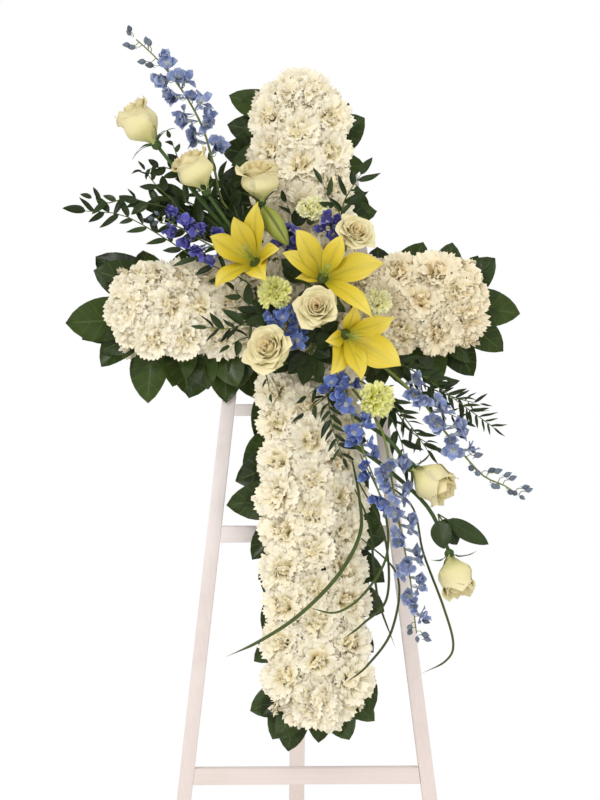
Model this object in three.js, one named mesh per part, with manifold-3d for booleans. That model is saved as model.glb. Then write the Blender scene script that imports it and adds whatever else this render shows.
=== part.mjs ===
// A standing funeral cross: white carnations on a leaf-edged cross, with a spray of lilies, roses,
// delphiniums and trailing greens at its crossing, carried by a folding wooden tripod easel.
// Millimetres, +Z up. The viewer stands at -Y. The origin is on the floor, under the middle of the
// object's box.
import * as THREE from "three";
import { mergeVertices } from "three/addons/utils/BufferGeometryUtils.js";
import Module from "manifold-3d";

const wasm = await Module();
wasm.setup();

// Driving dimensions
const GAP = 0.35; // clearance between pieces that touch
const LEAN = THREE.MathUtils.degToRad(12); // front frame, back from upright
const REAR_SPREAD = THREE.MathUtils.degToRad(17); // rear leg, back from upright
const CROSS_TILT = THREE.MathUtils.degToRad(1.5); // the cross hangs this much off square
const EASEL_HEIGHT = 1334; // a 54-inch easel, leant back
const FOOT_HALF_SPAN = 220; // centre of each front foot, at the floor
const SPAN_SLOPE = 0.1117; // how much each front leg closes in per mm of height
const LEG_WIDTH = 20;
const REAR_LEG_WIDTH = 24;
const WOOD_DEPTH = 19;
const TOP_RAIL = [1274, 1314]; // lower and upper edge of each cross-piece of the front frame
const UPPER_RUNG = [971, 988];
const MIDDLE_RUNG = [791, 814];
const LOWER_CROSSBAR = [459, 481];
const HINGE_WIDTH = 22;
const HINGE_LEAF = 22; // height of each leaf
const PLATE = 2;
const KNUCKLE_RADIUS = 3.6;
const PIN_RADIUS = 1.5;
const BORE_RADIUS = 2;
const REAR_LEG_ABOVE_HINGE = 20;
const CROSSING_HEIGHT = 1121; // middle of the cross's arms above the floor
const BOARD_THICKNESS = 15;
const BOARD_WIDTH = 104;
const BOARD_INSET = 24; // how far the board stops short of the flowers at each end
const BAND_INSET = 34; // the same for the band that holds the edge leaves
const LEAF_LAYER = [BOARD_THICKNESS + GAP, 23.6]; // where the edge leaves lie, in front of the board's back
const BED_BACK = 24;
const TOP_END = 358;
const BOTTOM_END = -611;
const LEFT_END = -287;
const RIGHT_END = 270;
const BEAM_HALF = 74; // half the width of a carnation-covered beam
const HEAD_PITCH = 54; // from one carnation head to the next along a beam
const BED_TOP = 74; // middle height of the packed heads
const CROWN = 11; // how far each head stands above that, and the valley between heads lies below it
const BED_EDGE = 52; // height of the outer heads' rim

// Colours and finishes
const finish = (color, roughness, metalness = 0) =>
  new THREE.MeshStandardMaterial({ color, roughness, metalness, flatShading: true });
const MATERIALS = {
  wood: finish(0xe9dcd2, 0.55),
  steel: finish(0x9a9a98, 0.35, 0.9),
  board: finish(0x2f4a30, 0.8),
  white: finish(0xf3ecd9, 0.75),
  rose: finish(0xefe7b4, 0.55),
  lily: finish(0xf2d53c, 0.45),
  lime: finish(0xcfd56a, 0.75),
  blue: finish(0x5f78c8, 0.6),
  leaf: finish(0x23401c, 0.4),
  stem: finish(0x5d7332, 0.5),
};

// A point or a direction given on the cross: u right, v up, w out towards the viewer
const onCross = (u, v, w) => new THREE.Vector3(u, -w, v);

// A repeatable number from 0 to 1
function scatter(k) {
  const s = Math.sin(k * 12.9898) * 43758.5453;
  return s - Math.floor(s);
}

// Solids

function solidOf(geometry) {
  const bare = new THREE.BufferGeometry().setAttribute("position", geometry.getAttribute("position"));
  if (geometry.index) bare.setIndex(geometry.index);
  const merged = mergeVertices(bare, 1e-3);
  const mesh = new wasm.Mesh({
    numProp: 3,
    vertProperties: merged.attributes.position.array,
    triVerts: new Uint32Array(merged.index.array),
  });
  return new wasm.Manifold(mesh);
}

function geometryOf(solid) {
  const mesh = solid.getMesh();
  const positions = new Float32Array(mesh.numVert * 3);
  for (let i = 0; i < mesh.numVert; i++) {
    positions.set(mesh.vertProperties.subarray(i * mesh.numProp, i * mesh.numProp + 3), i * 3);
  }
  const geometry = new THREE.BufferGeometry();
  geometry.setAttribute("position", new THREE.BufferAttribute(positions, 3));
  geometry.setIndex(new THREE.BufferAttribute(mesh.triVerts, 1));
  return geometry;
}

const fuse = (solids) => solids.reduce((whole, piece) => whole.add(piece));

const largest = (solid) =>
  solid.decompose().reduce((best, piece) => (piece.volume() > best.volume() ? piece : best));

// The solid grown by about the gap on every side, as a cutter
function grown(solid) {
  const shifts = [[-GAP, 0, 0], [GAP, 0, 0], [0, -GAP, 0], [0, GAP, 0], [0, 0, -GAP], [0, 0, GAP]];
  return fuse([solid, ...shifts.map((shift) => solid.translate(shift))]);
}

// Turns +X to `along` and +Z as near as it goes to `up`, and moves the origin to `place`
function basis(place, along, up) {
  const x = along.clone().normalize();
  const y = up.clone().cross(x).normalize();
  const z = x.clone().cross(y);
  return new THREE.Matrix4().makeBasis(x, y, z).setPosition(place);
}

// The same for a lathe or sphere, whose own axis is +Y
function axisBasis(place, axis) {
  const up = new THREE.Vector3(0, 1, 0);
  const turn = new THREE.Quaternion().setFromUnitVectors(up, axis.clone().normalize());
  return new THREE.Matrix4().makeRotationFromQuaternion(turn).setPosition(place);
}

// A leaf, petal or blade: pointed at both ends, a diamond in section, its length along a curve
function blade(curve, widthAt, { up, thickness = 2, sections = 2, cup = 0 }) {
  const geometry = new THREE.SphereGeometry(1, 4, sections + 1);
  const position = geometry.getAttribute("position");
  const vertex = new THREE.Vector3();
  for (let i = 0; i < position.count; i++) {
    vertex.fromBufferAttribute(position, i);
    const polar = Math.acos(THREE.MathUtils.clamp(vertex.y, -1, 1));
    const t = polar / Math.PI;
    const ring = Math.max(1e-6, Math.sin(polar));
    const atTip = Math.abs(vertex.y) > 0.9999;
    const tangent = curve.getTangent(t);
    const side = up.clone().cross(tangent).normalize();
    const normal = tangent.clone().cross(side);
    const aside = atTip ? 0 : (vertex.x / ring) * 0.5 * widthAt(t);
    const rise = atTip ? 0 : (vertex.z / ring) * 0.5 * thickness;
    const place = curve.getPoint(t).addScaledVector(side, aside);
    place.addScaledVector(normal, rise + cup * Math.abs(aside));
    position.setXYZ(i, place.x, place.y, place.z);
  }
  return solidOf(geometry);
}

const leafProfile = (width) => (t) => width * Math.sin(Math.PI * Math.pow(t, 0.9)) ** 0.7;

// A round stalk along a curve
function stalk(curve, radius, { steps = 6, sides = 4 } = {}) {
  const section = new THREE.Shape();
  for (let i = 0; i < sides; i++) {
    const angle = (i / sides) * 2 * Math.PI;
    section[i ? "lineTo" : "moveTo"](radius * Math.cos(angle), radius * Math.sin(angle));
  }
  section.closePath();
  return solidOf(new THREE.ExtrudeGeometry(section, { extrudePath: curve, steps, bevelEnabled: false }));
}

const straight = (from, to) => new THREE.LineCurve3(from, to);

// A curve as a stalk with this many steps follows it, straight from one section to the next
function faceted(curve, steps) {
  const corners = curve.getSpacedPoints(steps);
  const path = new THREE.CurvePath();
  for (let i = 0; i < steps; i++) path.add(straight(corners[i], corners[i + 1]));
  return path;
}

const bent = (from, through, to) => new THREE.QuadraticBezierCurve3(from, through, to);
const winding = (points) => new THREE.CatmullRomCurve3(points);

// Easel

// A piece of the front frame, drawn in the XZ plane, made as deep as the wood and leant back
function frameStick(corners) {
  const outline = new THREE.Shape(corners.map(([x, z]) => new THREE.Vector2(x, z)));
  const geometry = new THREE.ExtrudeGeometry(outline, { depth: WOOD_DEPTH, bevelEnabled: false });
  geometry.rotateX(Math.PI / 2); // drawn upright, its depth now along -Y
  geometry.translate(0, WOOD_DEPTH / 2, 0);
  return geometry.applyMatrix4(new THREE.Matrix4().makeShear(0, 0, 0, 0, 0, Math.tan(LEAN)));
}

const spanAt = (z) => FOOT_HALF_SPAN - SPAN_SLOPE * z;

function frontLeg(sign) {
  const bottom = sign * spanAt(0);
  const top = sign * spanAt(EASEL_HEIGHT);
  const half = LEG_WIDTH / 2;
  return frameStick([
    [bottom - half, 0],
    [bottom + half, 0],
    [top + half, EASEL_HEIGHT],
    [top - half, EASEL_HEIGHT],
  ]);
}

function rung(low, high) {
  const inner = (z) => spanAt(z) - LEG_WIDTH / 2 - GAP;
  return frameStick([
    [-inner(low), low],
    [inner(low), low],
    [inner(high), high],
    [-inner(high), high],
  ]);
}

// The hinge: a leaf on the back of the top rail, a leaf on the front of the rear leg, and a pin
const frameBack = (z) => z * Math.tan(LEAN) + WOOD_DEPTH / 2;
const HINGE_Z = TOP_RAIL[0] - KNUCKLE_RADIUS - 1;
const HINGE_AXIS = new THREE.Vector3(0, frameBack(HINGE_Z) + PLATE / 2 + GAP, HINGE_Z);

function knuckle(from, to) {
  const ring = new THREE.Shape().absarc(0, 0, KNUCKLE_RADIUS, 0, 2 * Math.PI);
  ring.holes.push(new THREE.Path().absarc(0, 0, BORE_RADIUS, 0, 2 * Math.PI, true));
  const options = { depth: to - from, curveSegments: 4, bevelEnabled: false };
  const geometry = new THREE.ExtrudeGeometry(ring, options);
  geometry.translate(0, 0, from);
  return solidOf(geometry.rotateY(Math.PI / 2));
}

// A hinge leaf, upright above the axis, with its knuckles between the given places along the pin
function hingeLeaf(spans) {
  const plateBottom = KNUCKLE_RADIUS + 1.2;
  const leaf = new THREE.BoxGeometry(HINGE_WIDTH, PLATE, HINGE_LEAF - plateBottom);
  leaf.translate(0, 0, (HINGE_LEAF + plateBottom) / 2);
  const joined = spans.map(([from, to]) => {
    const webBottom = BORE_RADIUS + 0.3;
    const web = new THREE.BoxGeometry(to - from, PLATE, plateBottom + 1 - webBottom);
    web.translate((from + to) / 2, 0, (plateBottom + 1 + webBottom) / 2);
    return knuckle(from, to).add(solidOf(web));
  });
  return geometryOf(fuse([solidOf(leaf), ...joined]));
}

function hingePin() {
  const pin = new THREE.CylinderGeometry(PIN_RADIUS, PIN_RADIUS, HINGE_WIDTH + 2, 10);
  return pin.rotateZ(Math.PI / 2);
}

// The rear leg runs from above the hinge to the floor; its top end is bevelled to bear on the rail
function rearLeg() {
  const faceOffset = PLATE / 2 + GAP; // the leg's front face behind the hinge axis
  const run = Math.tan(REAR_SPREAD);
  const depth = WOOD_DEPTH / Math.cos(REAR_SPREAD);
  const frontFoot = HINGE_AXIS.y + faceOffset + HINGE_AXIS.z * run;
  const top = HINGE_AXIS.z + REAR_LEG_ABOVE_HINGE;
  const frontTop = frontFoot - top * run;
  const side = new THREE.Shape([
    new THREE.Vector2(frontFoot, 0),
    new THREE.Vector2(frontFoot + depth, 0),
    new THREE.Vector2(frontTop + depth, top),
    new THREE.Vector2(frontTop, top),
  ]);
  const geometry = new THREE.ExtrudeGeometry(side, { depth: REAR_LEG_WIDTH, bevelEnabled: false });
  geometry.rotateX(Math.PI / 2);
  geometry.rotateZ(Math.PI / 2); // the drawing's x is now along +Y, its y along +Z
  geometry.translate(-REAR_LEG_WIDTH / 2, 0, 0);
  const groove = new THREE.CylinderGeometry(KNUCKLE_RADIUS + 1, KNUCKLE_RADIUS + 1, 2 * REAR_LEG_WIDTH, 12);
  groove.rotateZ(Math.PI / 2).translate(0, HINGE_AXIS.y, HINGE_AXIS.z);
  const rail = new THREE.BoxGeometry(2 * REAR_LEG_WIDTH, 60, 120);
  rail.translate(0, -30 + PLATE + 2 * GAP, 0);
  rail.rotateX(-LEAN).translate(0, frameBack(HINGE_AXIS.z), HINGE_AXIS.z);
  return solidOf(geometry).subtract(solidOf(groove)).subtract(solidOf(rail));
}

// Cross: board, edge leaves and carnation bed

function crossOutline(half, inset) {
  const top = TOP_END - inset;
  const bottom = BOTTOM_END + inset;
  const left = LEFT_END + inset;
  const right = RIGHT_END - inset;
  return [
    [-half, bottom], [half, bottom], [half, -half], [right, -half], [right, half], [half, half],
    [half, top], [-half, top], [-half, half], [left, half], [left, -half], [-half, -half],
  ];
}

// A flat plate on the cross, between two distances in front of the board's back
function plate(corners, back, front) {
  const outline = new THREE.Shape(corners.map(([u, v]) => new THREE.Vector2(u, v)));
  const geometry = new THREE.ExtrudeGeometry(outline, { depth: front - back, bevelEnabled: false });
  geometry.rotateX(Math.PI / 2);
  return geometry.translate(0, -back, 0);
}

const backingBoard = () => solidOf(plate(crossOutline(BOARD_WIDTH / 2, BOARD_INSET), 0, BOARD_THICKNESS));

const rectangle = (left, right, low, high) => [[left, low], [right, low], [right, high], [left, high]];

// A beam of packed carnation heads, upright on the cross, rounded at its free ends. The heads stand
// in two outer rows, with a middle row half a pitch along.
function carnationBeam(from, to, freeEnds) {
  const cells = 2 * Math.round((to - from) / HEAD_PITCH);
  const beam = new THREE.BoxGeometry(2, 1, 1, 6, 1, cells);
  const position = beam.getAttribute("position");
  for (let i = 0; i < position.count; i++) {
    const across = position.getX(i);
    const along = position.getZ(i) + 0.5;
    const atEnd = freeEnds.includes(along);
    const heads = Math.cos(Math.PI * along * cells);
    const edge = Math.abs(across) > 0.99;
    const half = BEAM_HALF - (atEnd ? 20 : 0) + (heads > 0 ? 0 : -7);
    const crown = BED_TOP - CROWN * heads * Math.cos(1.5 * Math.PI * across);
    const front = edge || atEnd ? BED_EDGE + 6 * heads : crown;
    const bulge = atEnd ? -12 * across ** 2 : 0;
    const place = from + along * (to - from) + (along > 0.5 ? bulge : -bulge);
    position.setXYZ(i, half * across, position.getY(i) < 0 ? -front : -BED_BACK, place);
  }
  return solidOf(beam);
}

// The same beam lying along u
const lyingBeam = (from, to, freeEnds) => carnationBeam(from, to, freeEnds).rotate([0, 90, 0]);

// Edge leaves: where each one leaves the cross, the way it points (degrees from +u) and its length
const LEAVES = {
  top: [
    [-40, 262, 158, 66], [-46, 232, 168, 72], [-46, 196, 172, 76], [-46, 160, 178, 74], [-46, 128, 196, 62],
    [2, 326, 72, 40], [42, 282, 46, 54], [50, 254, 34, 62], [50, 214, 4, 48], [50, 176, -24, 60],
    [50, 140, 12, 66],
  ],
  left: [
    [-236, 42, 140, 88], [-222, 44, 98, 58], [-172, 44, 84, 60], [-120, 42, 62, 62],
    [-262, -10, 184, 84], [-256, -40, 222, 66], [-222, -64, 262, 82], [-180, -62, 280, 66],
    [-150, -62, 254, 70], [-118, -62, 272, 72], [-92, -62, 286, 70],
  ],
  right: [
    [112, 44, 92, 54], [152, 46, 66, 60], [206, 46, 74, 50], [236, 30, 40, 62], [250, -4, 350, 66],
    [244, -34, 318, 56], [214, -56, 300, 56], [176, -58, 278, 64], [136, -58, 262, 54], [100, -58, 272, 66],
  ],
  lower: [
    [-46, -126, 250, 74], [-48, -196, 226, 70], [-48, -226, 206, 66], [-50, -276, 186, 72],
    [-46, -318, 228, 60], [-50, -372, 236, 46], [-50, -428, 236, 46], [-50, -480, 214, 46],
    [-50, -556, 204, 50], [-40, -572, 238, 56], [-34, -584, 262, 62], [2, -584, 268, 50],
    [26, -584, 292, 54], [44, -566, 320, 56], [50, -530, 300, 56],
    [50, -470, 318, 42], [50, -416, 330, 48], [50, -366, 318, 52], [50, -326, 350, 52], [50, -282, 316, 52],
    [50, -236, 320, 46], [48, -190, 324, 46],
  ],
};

function edgeLeaf([u, v, degrees, length], index) {
  const angle = THREE.MathUtils.degToRad(degrees);
  const along = onCross(Math.cos(angle), Math.sin(angle), 0);
  const layer = LEAF_LAYER[0] + 1.4 + 2.7 * (index % 3);
  const start = onCross(u, v, layer).addScaledVector(along, -16);
  const tip = start.clone().addScaledVector(along, length + 16);
  return blade(straight(start, tip), leafProfile(0.56 * length), { up: onCross(0, 0, 1), thickness: 2.4 });
}

// One stretch of edge leaves, joined by the band of their stalks under the flowers
function edgeLeaves(leaves, bandCorners) {
  const band = solidOf(plate(bandCorners, LEAF_LAYER[0], LEAF_LAYER[1]));
  return fuse([band, ...leaves.map(edgeLeaf)]);
}

// Flowers

// Where a stem starts, low enough between the carnation heads to meet them all round
const rooted = ([u, v]) => onCross(u, v, BED_TOP - CROWN - 6);

// The line of a stem from the bed through the given places
const stemLine = (root, route) => winding([rooted(root), ...route.map((place) => onCross(...place))]);

const LOBES = 5;

// A rose: hip, pot-bellied bloom with a lobed rim, and its stem. `at` is its base, where the hip is.
function rose({ at, face, length, width, root, route, rim = 1 }) {
  const base = onCross(...at);
  const axis = onCross(...face).normalize();
  const profile = [[0, -0.14], [0.16, -0.04], [0.46, 0.34], [0.5 * rim, 0.88], [0.26, 0.95], [0, 0.88]];
  const bloom = new THREE.LatheGeometry(
    profile.map(([r, h]) => new THREE.Vector2(r * width, h * length)),
    2 * LOBES,
  );
  const position = bloom.getAttribute("position");
  for (let i = 0; i < position.count; i++) {
    const [x, y, z] = [position.getX(i), position.getY(i), position.getZ(i)];
    const lobe = Math.cos(LOBES * Math.atan2(x, z)) > 0 ? 1.07 : 0.93;
    if (y > 0.2 * length) position.setXYZ(i, x * lobe, y, z * lobe);
  }
  const flower = solidOf(bloom.applyMatrix4(axisBasis(base, axis)));
  if (!root) return flower;
  const neck = base.clone().addScaledVector(axis, -0.09 * length);
  const line = winding([rooted(root), ...route.map((place) => onCross(...place)), neck]);
  return flower.add(stalk(line, 3, { steps: 2 * route.length + 1 }));
}

const FULL_ROSE = 1.06;
const ROSES = {
  rose_upper_left: {
    at: [-208, 226, 112], face: [-0.6, 0.76, 0.26], length: 74, width: 60,
    root: [-88, 84], route: [[-142, 138, 104]],
  },
  rose_upper_middle: {
    at: [-138, 151, 124], face: [-0.45, 0.82, 0.36], length: 66, width: 60,
    root: [-64, 60], route: [[-100, 96, 106]],
  },
  rose_upper: {
    at: [-60, 138, 108], face: [-0.04, 0.86, 0.5], length: 66, width: 62, root: [-50, 112], route: [],
  },
  rose_middle: { at: [14, -26, 104], face: [-0.12, 0.16, 1], length: 42, width: 60, rim: FULL_ROSE },
  rose_lower_left: { at: [-49, -85, 96], face: [-0.16, 0.14, 1], length: 44, width: 72, rim: FULL_ROSE },
  rose_upper_right: { at: [68, 84, 92], face: [0.4, 0.4, 0.9], length: 40, width: 54, rim: FULL_ROSE },
  rose_hanging_upper: {
    at: [139, -254, 112], face: [0.7, -0.62, 0.36], length: 66, width: 58,
    root: [66, -168], route: [[108, -212, 106]],
  },
  rose_hanging_lower: {
    at: [184, -377, 116], face: [0.2, -0.95, 0.16], length: 62, width: 52,
    root: [56, -204], route: [[96, -252, 94], [142, -302, 96]],
  },
};

// A carnation seen whole: a ruffled dome that narrows to its cup on the bed
function greenCarnation({ at, face, radius }) {
  const base = onCross(...at);
  const axis = onCross(...face).normalize();
  const profile = [[0, -0.62], [0.24, -0.62], [0.34, -0.3], [1, -0.06], [0.94, 0.26], [0.5, 0.52], [0, 0.6]];
  const bloom = new THREE.LatheGeometry(
    profile.map(([r, h]) => new THREE.Vector2(r * radius, h * radius)),
    8,
  );
  const position = bloom.getAttribute("position");
  for (let i = 0; i < position.count; i++) {
    const [x, y, z] = [position.getX(i), position.getY(i), position.getZ(i)];
    const ruffle = 1 + 0.06 * Math.sin(4 * Math.atan2(x, z) + y);
    position.setXYZ(i, x * ruffle, y, z * ruffle);
  }
  return solidOf(bloom.applyMatrix4(axisBasis(base, axis)));
}

const GREEN_CARNATIONS = {
  green_carnation_top: { at: [12, 122, 104], face: [0.1, 0.5, 1], radius: 28 },
  green_carnation_left: { at: [-41, 5, 110], face: [-0.3, -0.05, 1], radius: 29 },
  green_carnation_lower: { at: [89, -152, 112], face: [0.3, -0.2, 1], radius: 31 },
  green_carnation_right: { at: [98, -10, 100], face: [0.4, 0, 1], radius: 25 },
};

// A lily: six petals from the throat to the tips, over a short tube and its stalk
function lily({ throat, face, tips }) {
  const centre = onCross(...throat);
  const axis = onCross(...face).normalize();
  const petals = tips.map(([u, v, w, width], i) => {
    const tip = onCross(u, v, w);
    const reach = tip.clone().sub(centre);
    const length = reach.length();
    const out = reach.addScaledVector(axis, -reach.dot(axis)).normalize();
    const back = i % 2 ? -4 : 0; // every other petal lies behind its neighbours
    const start = centre.clone().addScaledVector(out, 4.5).addScaledVector(axis, back);
    const shoulder = start.clone().addScaledVector(axis, 0.5 * length);
    shoulder.addScaledVector(out, 0.35 * length);
    const profile = (t) => 3 + width * Math.sin(Math.PI * t ** 1.2) ** 0.9;
    return blade(bent(start, shoulder, tip), profile, { up: axis, thickness: 3, sections: 3, cup: 0.25 });
  });
  const foot = rooted(throat);
  const tube = new THREE.CylinderGeometry(9, 4, 20, 6);
  tube.translate(0, -7, 0).applyMatrix4(axisBasis(centre, axis));
  const neck = centre.clone().addScaledVector(axis, -14);
  return fuse([solidOf(tube), stalk(straight(foot, neck), 3, { steps: 1 }), ...petals]);
}

const LILIES = {
  lily_left: {
    throat: [-72, 48, 112],
    face: [-0.42, 0.3, 0.85],
    tips: [
      [-136, 79, 146, 32], [-101, 108, 140, 28], [-66, 127, 146, 30],
      [-38, 53, 160, 28], [-58, 11, 148, 32], [-131, 7, 120, 28],
    ],
  },
  lily_middle: {
    throat: [24, 22, 112],
    face: [0.08, 0.12, 1],
    tips: [
      [-34, 52, 146, 26], [-13, 88, 142, 32], [52, 74, 152, 26],
      [111, 33, 146, 38], [90, -50, 166, 26], [-16, 18, 126, 14],
    ],
  },
  lily_right: {
    throat: [54, -62, 114],
    face: [0.36, -0.34, 0.86],
    tips: [
      [24, -77, 138, 22], [31, -123, 130, 30], [73, -132, 128, 28],
      [129, -115, 138, 42], [122, -44, 136, 26], [66, -24, 138, 22],
    ],
  },
};

// A closed lily bud: a long three-sided spindle
function lilyBud(from, to, width) {
  const start = onCross(...from);
  const axis = onCross(...to).sub(start);
  const length = axis.length();
  const profile = [[0, 0], [0.16, 0.06], [0.38, 0.35], [0.5, 0.66], [0.3, 0.92], [0, 1]];
  const bud = new THREE.LatheGeometry(
    profile.map(([r, h]) => new THREE.Vector2(r * width, h * length)),
    6,
  );
  return solidOf(bud.applyMatrix4(axisBasis(start, axis)));
}

// A delphinium floret: a five-cornered trumpet whose spur runs back to the stalk
function floret(foot, direction, size) {
  const trumpet = new THREE.ConeGeometry(0.5 * size, 0.62 * size, LOBES);
  const position = trumpet.getAttribute("position");
  for (let i = 0; i < position.count; i++) {
    const onAxis = Math.hypot(position.getX(i), position.getZ(i)) < 0.01;
    if (onAxis && position.getY(i) < 0) position.setY(i, position.getY(i) + 0.16 * size);
  }
  trumpet.rotateX(Math.PI).translate(0, 0.31 * size, 0);
  return solidOf(trumpet.applyMatrix4(axisBasis(foot, direction.clone().normalize())));
}

function flowerBud(foot, direction, size) {
  const bud = new THREE.OctahedronGeometry(size / 2);
  bud.scale(0.6, 1.1, 0.6).translate(0, 0.5 * size, 0);
  return solidOf(bud.applyMatrix4(axisBasis(foot, direction.clone().normalize())));
}

// A delphinium spike: florets in a spiral up the stem, smaller and then closed towards the tip
function delphinium({ root, route, florets, buds, size }) {
  const steps = route.length + 1;
  const curve = faceted(stemLine(root, route), steps);
  const pieces = [stalk(curve, 2.8, { steps })];
  const total = florets + buds;
  for (let i = 0; i < total; i++) {
    const t = 0.22 + (0.77 * (i + 0.5)) / total;
    const tangent = curve.getTangent(t);
    const front = onCross(0, 0, 1);
    const out = front.clone().addScaledVector(tangent, -tangent.dot(front)).normalize();
    const side = tangent.clone().cross(out);
    const turn = (i % 3) - 1;
    const direction = out.multiplyScalar(turn ? 0.35 : 1);
    direction.addScaledVector(side, turn).addScaledVector(tangent, 0.3);
    const foot = curve.getPoint(t).addScaledVector(direction, -2);
    if (i < florets) pieces.push(floret(foot, direction, size * (1 - 0.2 * (i / total))));
    else pieces.push(flowerBud(foot, direction, 0.6 * size));
  }
  return fuse(pieces);
}

const DELPHINIUMS = {
  delphinium_upper_left: {
    root: [-58, 92],
    route: [
      [-112, 140, 88], [-124, 190, 90], [-137, 241, 106], [-155, 277, 125], [-178, 314, 128],
      [-206, 350, 130], [-240, 384, 130],
    ],
    florets: 7, buds: 4, size: 30,
  },
  delphinium_left: {
    root: [-88, 46], route: [[-98, 52, 98], [-128, 72, 104], [-164, 94, 104], [-206, 122, 108]],
    florets: 4, buds: 1, size: 28,
  },
  delphinium_right: {
    root: [62, -66],
    route: [
      [112, -112, 100], [158, -162, 110], [181, -198, 116], [208, -237, 122], [235, -270, 126],
      [262, -284, 128], [284, -300, 128],
    ],
    florets: 4, buds: 5, size: 29,
  },
  delphinium_hanging_inner: {
    root: [36, -100],
    route: [[50, -134, 102], [60, -190, 108], [72, -230, 112], [88, -280, 118], [96, -318, 120]],
    florets: 6, buds: 0, size: 29,
  },
  delphinium_hanging_outer: {
    root: [64, -128],
    route: [
      [98, -196, 106], [108, -262, 114], [114, -318, 122], [121, -366, 128], [127, -414, 134],
      [130, -464, 138], [132, -490, 140],
    ],
    florets: 5, buds: 3, size: 30,
  },
};

// A short stem of florets tucked into the middle of the spray
function floretCluster({ at, size, count }) {
  const centre = onCross(...at);
  const pieces = [stalk(straight(rooted(at), centre), 4, { steps: 1 })];
  for (let i = 0; i < count; i++) {
    const turn = (i / count) * 2 * Math.PI;
    const direction = onCross(Math.cos(turn), Math.sin(turn), 0.35);
    pieces.push(floret(centre.clone().add(onCross(0, 0, -3)), direction, size));
  }
  return fuse(pieces);
}

const FLORET_CLUSTERS = {
  florets_middle: { at: [-26, -40, 104], size: 26, count: 4 },
  florets_upper_right: { at: [39, 97, 110], size: 17, count: 3 },
  florets_upper_middle: { at: [-22, 78, 102], size: 20, count: 3 },
  florets_lower: { at: [44, -142, 112], size: 24, count: 3 },
};

// A sprig of ruscus: narrow leaves in two rows along a thin stem
function sprig({ root, route, leaves, length, width }) {
  const steps = route.length + 1;
  const curve = faceted(stemLine(root, route), steps);
  const pieces = [stalk(curve, 1.8, { steps })];
  for (let i = 0; i < leaves; i++) {
    const t = 0.36 + (0.63 * i) / (leaves - 1);
    const tangent = curve.getTangent(t);
    const out = onCross(0, 0, 1);
    const side = tangent.clone().cross(out).normalize();
    const way = i === leaves - 1 ? 0 : i % 2 ? 1 : -1;
    const lift = 0.5 * (scatter(i + length) - 0.4);
    const along = tangent.clone().addScaledVector(side, 1.1 * way).addScaledVector(out, lift);
    const leaf = new THREE.OctahedronGeometry(0.5);
    const reach = length * (1 - 0.25 * t);
    leaf.scale(reach, width * (1 - 0.2 * t), 2.4).translate(0.46 * reach, 0, 0);
    pieces.push(solidOf(leaf.applyMatrix4(basis(curve.getPoint(t), along, out))));
  }
  return fuse(pieces);
}

const SPRIGS = {
  ruscus_left: {
    root: [-66, 16],
    route: [[-92, 30, 92], [-150, 56, 92], [-204, 88, 96], [-262, 116, 106], [-330, 120, 110]],
    leaves: 8, length: 38, width: 13,
  },
  ruscus_middle_left: {
    root: [-62, -36], route: [[-88, -40, 98], [-112, -46, 100], [-140, -44, 102]],
    leaves: 6, length: 34, width: 14,
  },
  ruscus_right: {
    root: [66, -74], route: [[110, -92, 94], [164, -122, 92], [216, -164, 94], [256, -196, 96]],
    leaves: 8, length: 36, width: 13,
  },
  ruscus_top_right: {
    root: [54, 108], route: [[58, 134, 96], [70, 156, 98], [84, 176, 100]],
    leaves: 5, length: 34, width: 14,
  },
  ruscus_lower: {
    root: [20, -120], route: [[26, -150, 98], [30, -190, 102], [44, -236, 104]],
    leaves: 6, length: 32, width: 13,
  },
  ruscus_lower_right: {
    root: [68, -112], route: [[108, -148, 92], [138, -186, 90], [162, -224, 90]],
    leaves: 5, length: 34, width: 13,
  },
};

// Broad leaves, each group from one root to its tips
const BROAD_LEAVES = {
  rose_leaves: {
    root: [176, -304, 110], tips: [[236, -360, 116], [194, -358, 114], [218, -318, 112]], width: 26,
  },
  foliage_lower: { root: [14, -84, 92], tips: [[-14, -118, 94], [8, -134, 96], [34, -122, 96]], width: 20 },
};

function broadLeaves({ root, tips, width }) {
  const leaf = (tip) => {
    const [from, to] = [onCross(...root), onCross(...tip)];
    const middle = from.clone().lerp(to, 0.5).add(onCross(0, 0, 4));
    return blade(bent(from, middle, to), leafProfile(width), { up: onCross(0, 0, 1), thickness: 2.6 });
  };
  return fuse(tips.map(leaf));
}

// Blades of bear grass, each a long thin leaf that arches out of the spray and hangs
const GRASS = {
  bear_grass_long: {
    root: [58, -226],
    route: [
      [64, -290, 96], [62, -343, 112], [30, -400, 124], [-25, -453, 124], [-80, -486, 112], [-127, -505, 98],
    ],
  },
  bear_grass_crossing: {
    root: [70, -222],
    route: [[96, -300, 100], [98, -372, 112], [66, -424, 114], [26, -450, 112], [-16, -440, 106]],
  },
  bear_grass_short: {
    root: [64, -256], route: [[96, -340, 94], [96, -430, 112], [62, -466, 110], [34, -486, 102]],
  },
  bear_grass_hook: {
    root: [72, -246],
    route: [
      [134, -300, 96], [150, -370, 92], [174, -444, 92], [184, -496, 104], [172, -520, 108], [138, -536, 104],
    ],
  },
  bear_grass_inner: {
    root: [58, -264], route: [[76, -330, 102], [80, -392, 102], [86, -440, 100], [106, -500, 96]],
  },
  bear_grass_low: {
    root: [66, -340], route: [[112, -400, 96], [102, -474, 94], [66, -522, 92], [36, -544, 90]],
  },
};

function grassBlade({ root, route }) {
  const profile = (t) => 1.4 + 3.4 * Math.sin(Math.PI * t);
  return blade(stemLine(root, route), profile, { up: onCross(0.3, 0, 1), thickness: 1.8, sections: 6 });
}

// Assembly

const easel = new THREE.Group();
const cross = new THREE.Group();
const wreath = new THREE.Group();
wreath.add(easel, cross);

function add(group, name, geometry, material) {
  const mesh = new THREE.Mesh(geometry, material);
  mesh.name = name;
  group.add(mesh);
  return mesh;
}

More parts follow.
